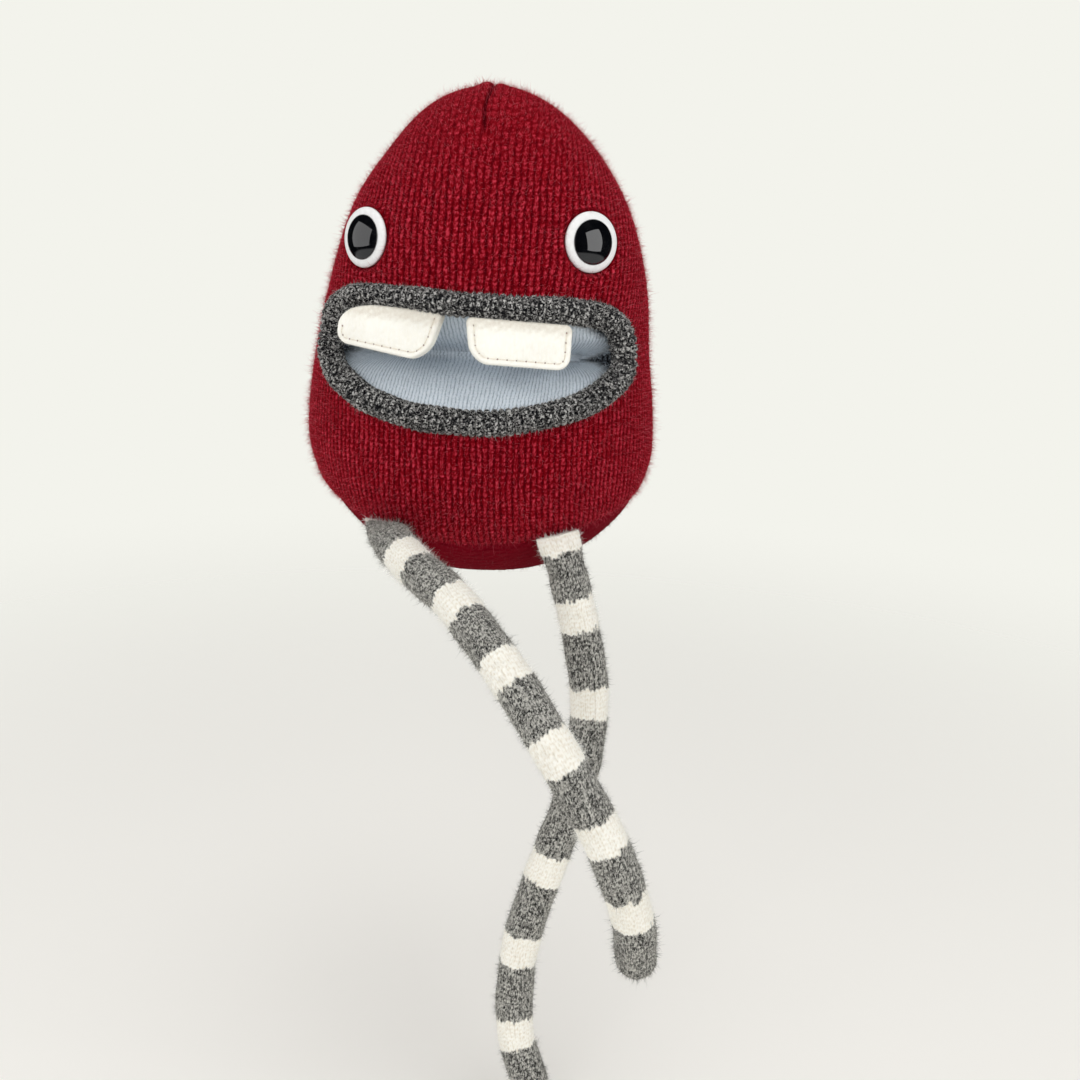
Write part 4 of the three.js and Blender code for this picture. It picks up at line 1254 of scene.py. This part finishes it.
def tooth_ring(inset, cut):
    """A tooth's outline drawn in by an inset: a rounded box, anticlockwise from its upper right corner.
    Its inner side leans in, its sewn edge is stretched up by the tuck and falls at the shoulder, and its
    height grows evenly to the right. Every inset gives as many points."""
    width, height = cut["width"], cut["height"]
    half = width / 2 - inset
    top, bottom = -inset, inset - height
    corners = []
    for k, (x, y, radius) in enumerate(zip((1, -1, -1, 1), (top, top, bottom, bottom), cut["corners"])):
        radius = max(min(radius, height / 2) - inset, 0)
        corners.append((x * (half - radius), y + radius * (1 if k > 1 else -1), radius, k))
    turns = (np.arange(4)[:, None] + np.linspace(0, 1, TOOTH_CORNER)) * math.pi / 2
    arcs = [
        np.stack([x + radius * np.cos(turns[k]), y + radius * np.sin(turns[k])], -1)
        for x, y, radius, k in corners
    ]
    ring = []
    for k, steps in enumerate((TOOTH_LONG, TOOTH_SHORT, TOOTH_LONG, TOOTH_SHORT)):
        share = np.linspace(0, 1, steps + 2)[1:-1, None]
        ring += [arcs[k], arcs[k][-1] * (1 - share) + arcs[(k + 1) % 4][0] * share]
    ring = np.concatenate(ring)
    inner = cut["inner"]
    ring[:, 0] += inner * cut["lean"] * ring[:, 1] / height * smooth(inner * ring[:, 0], 0, width / 2)
    raised = smooth(ring[:, 1], -0.6 * height, 0)
    ring[:, 1] += raised * (cut["tuck"] - cut["shoulder"] * smooth(-inner * ring[:, 0], 0, width / 2) ** 2)
    ring[:, 1] *= 1 + ring[:, 0] * math.tan(cut["slope"]) / height
    return ring


def tooth_frame(name, place, body):
    """The middle of a tooth's sewn edge, and its axes along the lip, up and out. The first is its hinge's,
    and out is square to that and to the way up the body there."""
    joint = JOINTS[f"{name}_tooth_flap"]
    origin = np.array(joint["pos_m"], float)
    along = -unit(np.array(joint["axis"], float))
    normal = body_normal(np.array(place), origin[2], body)
    level = unit(np.array([-normal[1], normal[0], 0]))
    out = unit(np.cross(along, np.cross(normal, level)))
    return origin, np.stack([along, np.cross(out, along), out])


class PLUSH_OT_teeth(PlushBuilder, bpy.types.Operator):
    """Cut, pad and topstitch the two layers of each felt tooth"""

    bl_idname = "plush.teeth"
    bl_label = "Teeth"

    def execute(self, context):
        scene = context.scene
        body, knit, tooth = scene.plush_body, scene.plush_knit, scene.plush_tooth
        felt, cotton = self.felt(tooth), self.cotton(tooth)
        tones = fibre_materials("Cream fibre", tooth.white, lighter(tooth.white, 0.5))
        for index, name in enumerate(SIDES):
            cut = self.cut(name, tooth)
            origin, axes = tooth_frame(name, getattr(tooth, f"{name}_place"), body)
            for layer, centre in (("front", -tooth.felt / 2), ("back", -1.5 * tooth.felt - tooth.gap)):
                local, quads, values = self.layer(layer == "front", centre, cut, tooth)
                points = origin + local.reshape(-1, 3) @ axes
                joined, plain = welded(points, quads)
                piece = new_object(
                    f"tooth_{name}_{layer}_felt", points, joined, felt, values,
                    grid_map(*local.shape[:2]), plain,
                )
                finish_piece(piece, f"{name}_tooth", (f"tooth_{name}_{layer}",))
                if layer == "front":
                    cloth = points, point_normals(points, quads), quads
                    fluffed(
                        f"tooth_{name}", cloth, knit.tooth_fibres, 0.45, knit, tones,
                        np.random.default_rng(52 + index), f"{name}_tooth", fine=0.8,
                    )
            stitched = self.thread(cut, tooth)
            points = origin + stitched.reshape(-1, 3) @ axes
            amount, rows, sides = stitched.shape[:3]
            each = grid_faces(rows, sides, True)
            every = (each[None] + rows * sides * np.arange(amount)[:, None, None]).reshape(-1, 4)
            piece = new_object(f"tooth_{name}_topstitch", points, welded(points, every)[0], cotton)
            finish_piece(piece, f"{name}_tooth")
        return {"FINISHED"}

    def cut(self, name, tooth):
        """The sizes of one tooth. Its inner side is the one towards the middle of the face."""
        keys = ("width", "height", "slope", "lean", "tuck", "shoulder")
        sizes = {key: getattr(tooth, f"{name}_{key}") for key in keys}
        upper = [tooth.inner_upper, getattr(tooth, f"{name}_upper")]
        lower = [tooth.outer_lower, tooth.inner_lower]
        if SIDES[name] > 0:
            upper, lower = upper[::-1], lower[::-1]
        return {**sizes, "corners": upper + lower, "inner": -SIDES[name]}

    def sewn_line(self, cut, tooth):
        """The topstitched line down one side, along the bottom and up the other, with the length to each
        point and the number of stitches."""
        ring = tooth_ring(tooth.seam_inset, cut)
        line = np.concatenate([ring[2 * TOOTH_CORNER + TOOTH_LONG:], ring[:1]])
        run = length_along(line)
        return line, run, round(run[-1] / tooth.stitch)

    def bowed(self, local, tooth):
        """Curved round the mouth: drawn back by the square of the distance from the middle."""
        local[..., 2] -= local[..., 0] ** 2 / (2 * tooth.bend)
        return local

    def layer(self, front, centre, cut, tooth):
        """One layer of felt: rings drawn in from the rounded edge, on the back and then on the face. The
        face of the front layer swells inside a shallow sewn groove, and dips at each needle hole."""
        height = cut["height"]
        rolled = tooth.felt / 2 * (1 - np.cos(np.linspace(0, math.pi / 2, 7)))
        insets = np.concatenate([
            rolled, np.linspace(1.05 * MM, 2.6 * MM, 9), np.linspace(3 * MM, height / 2, 6)
        ])
        rings = np.stack([tooth_ring(inset, cut) for inset in insets])
        edge = np.minimum(insets / (tooth.felt / 2), 1)[:, None]
        rounded = tooth.felt / 2 * np.sqrt(1 - (1 - edge) ** 2) + 0 * rings[..., 0]
        flat = np.concatenate([rings, 0 * rings[..., :1]], -1)
        grain = wander(flat, 1.7 * MM, 51)
        nap = 0.06 * MM * grain + 0.05 * MM * np.sin(TURN * rings[..., 0] / (1.35 * MM))
        groove, hole = 0 * rounded, 0 * rounded
        if front:
            line, run, amount = self.sewn_line(cut, tooth)
            needle = np.arange(amount + 1) / amount * run[-1]
            pricks = np.stack([np.interp(needle, run, line[:, k]) for k in (0, 1)], -1)
            hole = bell(nearest(rings.reshape(-1, 2), pricks), 0.3 * MM).reshape(rounded.shape)
            groove = bell(nearest(rings.reshape(-1, 2), line), 0.5 * MM).reshape(rounded.shape)
        puff = tooth.puff * smooth(insets[:, None], tooth.seam_inset, 3 * tooth.seam_inset) * front
        face = rounded + puff + nap * edge - 0.15 * MM * groove - 0.4 * MM * hole
        local = np.concatenate([
            np.concatenate([rings, (centre - rounded)[..., None]], -1)[:0:-1],
            np.concatenate([rings, (centre + face)[..., None]], -1),
        ])
        # Painted shade: the felt is greyer along the sewn edge under the lip and in the sewn groove
        shade_under_lip = smooth(rings[..., 1], -0.3 * height, 0.02 * height)
        tone = 0.85 - 0.4 * shade_under_lip - 0.1 * groove + 0.1 * grain
        values = {
            "relief": np.concatenate([tone[:0:-1], tone]).ravel(),
            "hole": np.concatenate([0 * hole[:0:-1], hole]).ravel(),
        }
        return self.bowed(local, tooth), grid_faces(*local.shape[:2], True), values

    def thread(self, cut, tooth):
        """Topstitches: each is a thin spindle that rises between two needle holes, clear of both."""
        line, run, amount = self.sewn_line(cut, tooth)
        rows, sides = 7, 6
        clear = 0.08
        share = np.linspace(clear, 1 - clear, rows)
        place = (np.arange(amount)[:, None] + share[None]) / amount * run[-1]
        x, y = (np.interp(place, run, line[:, k]) for k in (0, 1))
        z = -0.3 * MM + 0.28 * MM * np.sin(math.pi * share)[None] + 0 * x
        along = unit(np.stack([np.gradient(x, axis=1), np.gradient(y, axis=1)], -1))
        around = np.arange(sides) / sides * TURN
        end = np.abs(2 * share - 1) / (1 - 2 * clear)
        radius = tooth.thread / 2 * np.sqrt(np.clip(1 - end ** 6, 0, 1))
        side = radius[None, :, None] * np.cos(around)
        rise = radius[None, :, None] * np.sin(around)
        local = np.stack([
            x[..., None] + along[..., 1:] * side, y[..., None] - along[..., :1] * side, z[..., None] + rise
        ], -1)
        return self.bowed(local, tooth)

    def felt(self, tooth):
        """Cream felted wool, with painted shade: greyer along the sewn edge under the lip and in the sewn
        groove. Painted shadow darkens the needle holes.
        """
        material, tree, shader, place = start_material("Cream felt", WOOL_ROUGHNESS, tooth.white, 0.12)
        wool = group_node(tree, felted_group(), {
            "Place": place, "Yarn": rgba(tooth.white), "Shade": rgba(tooth.white_shade),
            "Fluff": rgba(lighter(tooth.white, 0.6)), "Relief": attribute(tree, "relief"),
            "Fluffiness": 0.4, "Grain": 1100.0,
        })
        tone = mixed(tree, ramp(tree, attribute(tree, "hole"), 0.25, 0.9), wool["Color"], rgba(tooth.hole))
        tree.links.new(tone, shader.inputs["Base Color"])
        bumped(tree, shader, wool["Height"], 0.45, 0.25 * MM)
        return material

    def cotton(self, tooth):
        """Twisted sewing thread."""
        material, tree, shader, place = start_material("Topstitch thread", 0.8, tooth.thread_colour, 0.1)
        ply = noise(tree, place, 3200.0, 2.0)
        darker = tuple(0.85 * np.array(tooth.thread_colour))
        tone = mixed(tree, ramp(tree, ply, 0.4, 0.65), rgba(tooth.thread_colour), rgba(darker))
        tree.links.new(tone, shader.inputs["Base Color"])
        bumped(tree, shader, ply, 0.5, 0.1 * MM)
        return material


def leg_line(name, body, leg):
    """A leg's centreline: a centripetal Catmull-Rom curve through its root and its steps from the hip.
    Returns its points, the length to each, the direction of the sewn edge, which is the hinge's, and the
    way out of the body."""
    turn = np.array(SIDES[name] * leg.hip)
    z = seam_at(turn, body) + leg.hip_rise
    hip = body_point(turn, z, body)
    hinge = JOINTS[f"{name}_leg_swing"]
    root = np.array(hinge["pos_m"], float)
    across = -unit(np.array(hinge["axis"], float))
    knots = np.concatenate([[root], hip + np.array(LEG_ROUTES[name]) * MM])
    knots = np.concatenate([[2 * knots[0] - knots[1]], knots, [2 * knots[-1] - knots[-2]]])
    gaps = np.sqrt(np.linalg.norm(np.diff(knots, axis=0), axis=1))[:, None]
    slopes = np.diff(knots, axis=0) / gaps
    joint = slopes[:-1] + slopes[1:] - (knots[2:] - knots[:-2]) / (gaps[:-1] + gaps[1:])
    start, end = joint[:-1] * gaps[1:-1], joint[1:] * gaps[1:-1]
    share = np.linspace(0, 1, 80, endpoint=False)[:, None, None]
    first, last = knots[1:-2], knots[2:-1]
    curve = (
        (2 * share ** 3 - 3 * share ** 2 + 1) * first + (share ** 3 - 2 * share ** 2 + share) * start
        + (3 * share ** 2 - 2 * share ** 3) * last + (share ** 3 - share ** 2) * end
    )
    curve = np.concatenate([curve.transpose(1, 0, 2).reshape(-1, 3), last[-1:]])
    return curve, length_along(curve), across, body_normal(turn, z, body)


class PLUSH_OT_legs(PlushBuilder, bpy.types.Operator):
    """Knit the striped legs, flat where they are sewn on"""

    bl_idname = "plush.legs"
    bl_label = "Legs"

    def execute(self, context):
        body, knit, leg = context.scene.plush_body, context.scene.plush_knit, context.scene.plush_leg
        material = self.striped(leg)
        per_wale, per_course = 5, 4
        cap_rows, lid_rows = 21, 8
        radius = leg.diameter / 2
        sides = knit.leg_wales * per_wale
        around = np.arange(sides) / sides * TURN
        wools = (
            fibre_materials("Grey fibre", leg.grey_fluff, leg.grey_light, leg.grey_dark),
            fibre_materials("Leg cream fibre", leg.white, lighter(leg.white, 0.5)),
        )
        for index, name in enumerate(SIDES):
            curve, run, across, out = leg_line(name, body, leg)
            straight = run[-1] - radius
            steps = math.ceil(straight / knit.leg_course) * per_course
            cap = np.linspace(0, math.pi / 2, cap_rows + 1)[1:]
            place = np.concatenate([np.linspace(0, straight, steps + 1), straight + radius * np.sin(cap)])
            taper = np.concatenate([np.ones(steps + 1), np.cos(cap)])
            at = lambda places: np.stack([np.interp(places, run, curve[:, k]) for k in range(3)], -1)
            along = unit(at(place + 0.2 * MM) - at(place - 0.2 * MM))
            flat = smooth(place, 0, leg.pinch)[:, None]
            aside = unit(across * (1 - flat) + self.carried(across, along) * flat)
            thin = unit(np.cross(aside, along))
            half_width = (leg.top_width / 2 * (1 - flat) + radius * flat) * taper[:, None]
            outward = (np.sin(around) * (thin[0] @ out) > 0)[None]
            shown = np.sqrt(smooth(place, 0, getattr(leg, f"{name}_round")))
            full = np.where(outward, shown[:, None], smooth(place, 0, getattr(leg, f"{name}_room"))[:, None])
            edge = np.where(outward, 1, 0.2 + 0.8 * smooth(place, 0, 3 * MM)[:, None])
            half_thick = (leg.top_thickness / 2 * edge * (1 - full) + radius * full) * taper[:, None]
            spread = (half_width * np.cos(around))[..., None] * aside[:, None]
            spread = spread + (half_thick * np.sin(around))[..., None] * thin[:, None]
            base = at(place)[:, None] + spread
            tube = grid_faces(len(place), sides, True)
            normals = point_normals(base.reshape(-1, 3), tube).reshape(base.shape)
            normals *= np.sign(np.sum(normals * spread, -1, keepdims=True) + 1e-12)
            wale = np.arange(sides)[None] / per_wale + 0.16 * wander(base, 9 * MM, 61 + index)
            wale = wale + 0.16 * wander(base, 2.6 * MM, 60)
            course = place[:, None] / knit.leg_course + 0.3 * wander(base, 7 * MM, 63 + index)
            relief = np.clip(stitches(wale, course, 0.7, 0.4) + 0.2 * wander(base, 1.5 * MM, 66), 0, 1)
            side = np.abs(2 * (wale - np.floor(wale)) - 1)
            ragged = place[:, None] - (0.5 * side + 0.6 * wander(base, 4 * MM, 65)) * knit.leg_course
            banding = (getattr(leg, f"{name}_{key}") for key in ("top", "first", "pitch"))
            white = self.stripes(ragged, *banding, leg)
            behind = 1 - np.sin(around) * np.sign(thin[len(thin) // 2, 1])
            sewn = bell(np.sqrt(2 * behind)[None] * radius + 0 * place[:, None], 0.8 * MM)
            swell = knit.leg_relief * (relief - 0.75) + 0.25 * MM * wander(base, 13 * MM, 67 + index)
            swell = (swell - leg.seam_depth * sewn) * np.minimum(1, taper[:, None] * 2)
            points = base + normals * swell[..., None]
            points[-1] = points[-1].mean(0)
            middle = points[:1].mean(1, keepdims=True)
            lid = middle + (points[:1] - middle) * np.linspace(0, 0.9, lid_rows)[:, None, None]
            points = np.concatenate([lid, points]).reshape(-1, 3)
            rows = lid_rows + len(place)
            pad = lambda field, fill: np.concatenate([np.full((lid_rows, sides), fill), field]).ravel()
            # Painted shade: the relief, and so the colour, darkens along the long seam's groove
            values = {"relief": pad(relief * (1 - 0.5 * sewn), 0.7), "white": pad(white, 1.0)}
            quads = grid_faces(rows, sides, True)
            corners = [points[quads[:, k]] for k in range(3)]
            if np.sum(np.cross(corners[0], corners[1]) * corners[2]) < 0:
                quads = quads[:, ::-1]
            joined, plain = welded(points, quads)
            piece = new_object(
                f"leg_{name}_knit", points, joined, material, values, grid_map(rows, sides), plain
            )
            nodes = (f"leg_{name}_cover", f"leg_{name}_stuffing")
            finish_piece(piece, f"{name}_leg", nodes)
            self.fibres(name, points, quads, values["white"], knit, leg, wools, 71 + index)
        return {"FINISHED"}

    def carried(self, across, along):
        """The direction of the sewn edge carried down a leg. A leg lies close to a plane, so axes on the
        plane's normal don't twist; they are turned by the angle at which the edge meets them at the root."""
        plane = np.linalg.svd(along, full_matrices=False)[2][2]
        first = unit(plane - (along @ plane)[:, None] * along)
        second = np.cross(along, first)
        turn = math.atan2(across @ second[0], across @ first[0])
        return math.cos(turn) * first + math.sin(turn) * second

    def stripes(self, depth, top, first, pitch, leg):
        """1 in a white stripe and 0 in a grey one, by the length from the top, with edges a fraction of a
        stitch wide."""
        soft = 0.15 * MM
        from_middle = np.abs((depth - first + pitch / 2) % pitch - pitch / 2)
        white = 1 - smooth(from_middle, leg.stripe / 2 - soft, leg.stripe / 2 + soft)
        white = white * (depth < leg.last_stripe) * (depth > first / 2)
        return np.maximum(white, 1 - smooth(depth, top - soft, top + soft))

    def striped(self, leg):
        """Grey marl, its flecks drawn out down the leg, and cream felted yarn, chosen by the stripe."""
        material, tree, shader, place = start_material("Striped leg knit", WOOL_ROUGHNESS, leg.white, 0.3)
        marl = group_node(tree, marled_group(), {
            "Place": drawn_out(tree, place, 0.45), "Dark": rgba(leg.grey_dark), "Light": rgba(leg.grey_light),
            "Relief": attribute(tree, "relief"), "Grain": 2500.0, "Balance": 0.04,
        })
        cream = group_node(tree, felted_group(), {
            "Place": place, "Yarn": rgba(leg.white), "Shade": rgba(leg.white_shade),
            "Fluff": rgba(lighter(leg.white, 0.5)), "Relief": attribute(tree, "relief"),
            "Fluffiness": 0.4, "Grain": 1500.0,
        })
        tone = mixed(tree, attribute(tree, "white"), marl["Color"], cream["Color"])
        tree.links.new(tone, shader.inputs["Base Color"])
        bumped(tree, shader, marl["Height"], 0.6, 0.3 * MM)
        return material

    def fibres(self, name, points, quads, white, knit, leg, wools, seed):
        """Loose grey and cream fibres, each in the colour of its stripe, and a tuft of wisps at the tip."""
        rng = np.random.default_rng(seed)
        normals = point_normals(points, quads)
        pale = white[quads].mean(1) > 0.5
        grey, cream = wools
        for shade, chosen, share, tones in (("grey", ~pale, 0.6, grey), ("cream", pale, 0.4, cream)):
            fluffed(
                f"leg_{name}_{shade}", (points, normals, quads[chosen]), round(knit.leg_fibres * share),
                0.85, knit, tones, rng, f"{name}_leg",
            )
        wisps, tip_reach = 90, 3.5 * MM
        tip = np.linalg.norm(points[quads[:, 0]] - points[-1], axis=1) < tip_reach
        roots, leans = scatter(points, normals, quads[tip], wisps, rng)
        tones = [cream[0], grey[1]]
        tuft = fibre_mesh(f"leg_{name}_tuft", roots, leans, leg.tuft, knit.fibre_width, tones, rng)
        finish_piece(tuft, f"{name}_leg")


class PLUSH_OT_stage(PlushBuilder, bpy.types.Operator):
    """Set the pale floor, the soft lights and the camera"""

    bl_idname = "plush.stage"
    bl_label = "Stage"

    def execute(self, context):
        scene = context.scene
        stage = scene.plush_stage
        scene.view_settings.view_transform = "Standard"
        self.world(scene, stage)
        self.floor(stage)
        for name, place, size, power, shown in (
            ("Left softbox", (-1.005, -0.503, 0.284), (1.77, 1.38), stage.side_power, True),
            ("Right softbox", (0.951, -0.596, 0.298), (1.24, 1.42), 1.06 * stage.side_power, True),
            ("Top softbox", (0.1, -0.1, 1.3), (0.9, 0.9), stage.top_power, False),
            ("Front fill", (-0.25, -1.6, 0.62), (1.2, 0.8), stage.front_power, False),
        ):
            self.softbox(scene, name, np.array(place), size, power, shown)
        self.camera(scene, stage)
        return {"FINISHED"}

    def world(self, scene, stage):
        """Pale to the camera, an even light on the rest, and in gloss a dim room with a grey floor."""
        world = bpy.data.worlds.new("Pale studio")
        scene.world = world
        world.use_nodes = True
        tree = world.node_tree
        tree.nodes.clear()
        path = add(tree, "ShaderNodeLightPath").outputs
        glossy = path["Is Glossy Ray"]
        seen = total(tree, path["Is Camera Ray"], path["Is Transmission Ray"])
        seen = add(tree, "ShaderNodeMath", {0: seen, 1: glossy}, operation="ADD", use_clamp=True)
        way = add(tree, "ShaderNodeTexCoord").outputs["Generated"]
        way = add(tree, "ShaderNodeSeparateXYZ", {"Vector": way}).outputs
        room = mixed(tree, ramp(tree, way["Z"], -0.45, -0.53), rgba(stage.room), rgba(stage.room_floor))
        shown = mixed(tree, glossy, rgba(stage.pale), room)
        light = add(tree, "ShaderNodeBackground", {"Color": (1, 1, 1, 1), "Strength": stage.ambient})
        pale = add(tree, "ShaderNodeBackground", {"Color": shown, "Strength": 1.0})
        both = add(tree, "ShaderNodeMixShader", {0: seen.outputs[0], 1: light.outputs[0], 2: pale.outputs[0]})
        add(tree, "ShaderNodeOutputWorld", {"Surface": both.outputs[0]})

    def floor(self, stage):
        """A pale disc below the legs that fades out into the backdrop."""
        sides, rows = 96, 12
        turn = np.arange(sides) / sides * TURN
        radius = np.linspace(0, stage.floor_radius, rows)[:, None]
        points = np.stack([radius * np.cos(turn), radius * np.sin(turn), stage.floor + 0 * radius * turn], -1)
        joined, _ = welded(points.reshape(-1, 3), grid_faces(rows, sides, True))
        material = bpy.data.materials.new("Pale floor")
        material.use_nodes = True
        tree = material.node_tree
        shader = tree.nodes["Principled BSDF"]
        shader.inputs["Base Color"].default_value = rgba(stage.floor_tone)
        shader.inputs["Roughness"].default_value = 0.9
        shader.inputs["Specular IOR Level"].default_value = 0.0
        place = add(tree, "ShaderNodeTexCoord").outputs["Object"]
        reach = add(tree, "ShaderNodeVectorMath", {0: place}, operation="LENGTH").outputs["Value"]
        near = ramp(tree, reach, 0.8 * stage.floor_radius, 0.25 * stage.floor_radius)
        tree.links.new(near, shader.inputs["Alpha"])
        floor = new_object("pale_floor", points.reshape(-1, 3), joined, material)
        floor.visible_glossy = False

    def softbox(self, scene, name, place, size, power, shown):
        """An area light that faces the toy, and shows in gloss or not."""
        light = bpy.data.lights.new(name, "AREA")
        light.shape = "RECTANGLE"
        light.size, light.size_y = size
        light.energy = power
        lamp = bpy.data.objects.new(name, light)
        lamp.visible_glossy = shown
        back = unit(place - np.array([0, 0, LIT_HEIGHT]))
        right = unit(np.cross([0, 0, 1], back))
        lamp.matrix_world = self.stand(right, np.cross(back, right), back, place)
        scene.collection.objects.link(lamp)

    def camera(self, scene, stage):
        """A camera at a distance from a point on the body's axis, which lies at the aim in the picture."""
        turn, pitch, roll = stage.azimuth, stage.pitch, stage.roll
        flat = math.cos(pitch)
        back = np.array([flat * math.sin(turn), -flat * math.cos(turn), math.sin(pitch)])
        level = unit(np.cross([0, 0, 1], back))
        upright = np.cross(back, level)
        right = level * math.cos(roll) + upright * math.sin(roll)
        up = upright * math.cos(roll) - level * math.sin(roll)
        pixel = stage.distance * SENSOR / (stage.lens * PICTURE)
        place = np.array([0, 0, stage.target]) + back * stage.distance
        place = place - right * (stage.aim_x - PICTURE / 2) * pixel + up * (stage.aim_y - PICTURE / 2) * pixel
        data = bpy.data.cameras.new("Camera")
        data.lens = stage.lens
        data.sensor_width = SENSOR
        data.clip_start = 10 * MM
        camera = bpy.data.objects.new("Camera", data)
        camera.matrix_world = self.stand(right, up, back, place)
        scene.collection.objects.link(camera)
        scene.camera = camera

    def stand(self, right, up, back, place):
        """The matrix that sets a lamp or camera at a place, with its axes right, up and back."""
        axes = np.eye(4)
        axes[:3] = np.stack([right, up, back, place], -1)
        return Matrix(axes)


class PLUSH_PT_panel(bpy.types.Panel):
    """Lists the pieces of the plush monster"""

    bl_label = "Plush monster"
    bl_idname = "PLUSH_PT_panel"
    bl_space_type = "VIEW_3D"
    bl_region_type = "UI"
    bl_category = "Plush"

    def draw(self, context):
        for operator in OPERATORS:
            self.layout.operator(operator.bl_idname)
        for name, group in SETTINGS.items():
            box = self.layout.box()
            box.label(text=group.__doc__)
            for key in group.__annotations__:
                box.prop(getattr(context.scene, name), key)


OPERATORS = (
    PLUSH_OT_stage,
    PLUSH_OT_body_panels,
    PLUSH_OT_base_panel,
    PLUSH_OT_lip,
    PLUSH_OT_lining,
    PLUSH_OT_eyes,
    PLUSH_OT_teeth,
    PLUSH_OT_legs,
)


def register():
    for group in (*SETTINGS.values(), *OPERATORS, PLUSH_PT_panel):
        bpy.utils.register_class(group)
    for name, group in SETTINGS.items():
        setattr(bpy.types.Scene, name, bpy.props.PointerProperty(type=group))


def unregister():
    for name in SETTINGS:
        delattr(bpy.types.Scene, name)
    for group in reversed((*SETTINGS.values(), *OPERATORS, PLUSH_PT_panel)):
        bpy.utils.unregister_class(group)


def main():
    register()
    bpy.ops.plush.stage()
    bpy.ops.plush.body_panels()
    bpy.ops.plush.base_panel()
    bpy.ops.plush.lip()
    bpy.ops.plush.lining()
    bpy.ops.plush.eyes()
    bpy.ops.plush.teeth()
    bpy.ops.plush.legs()


if __name__ == "__main__":
    main()
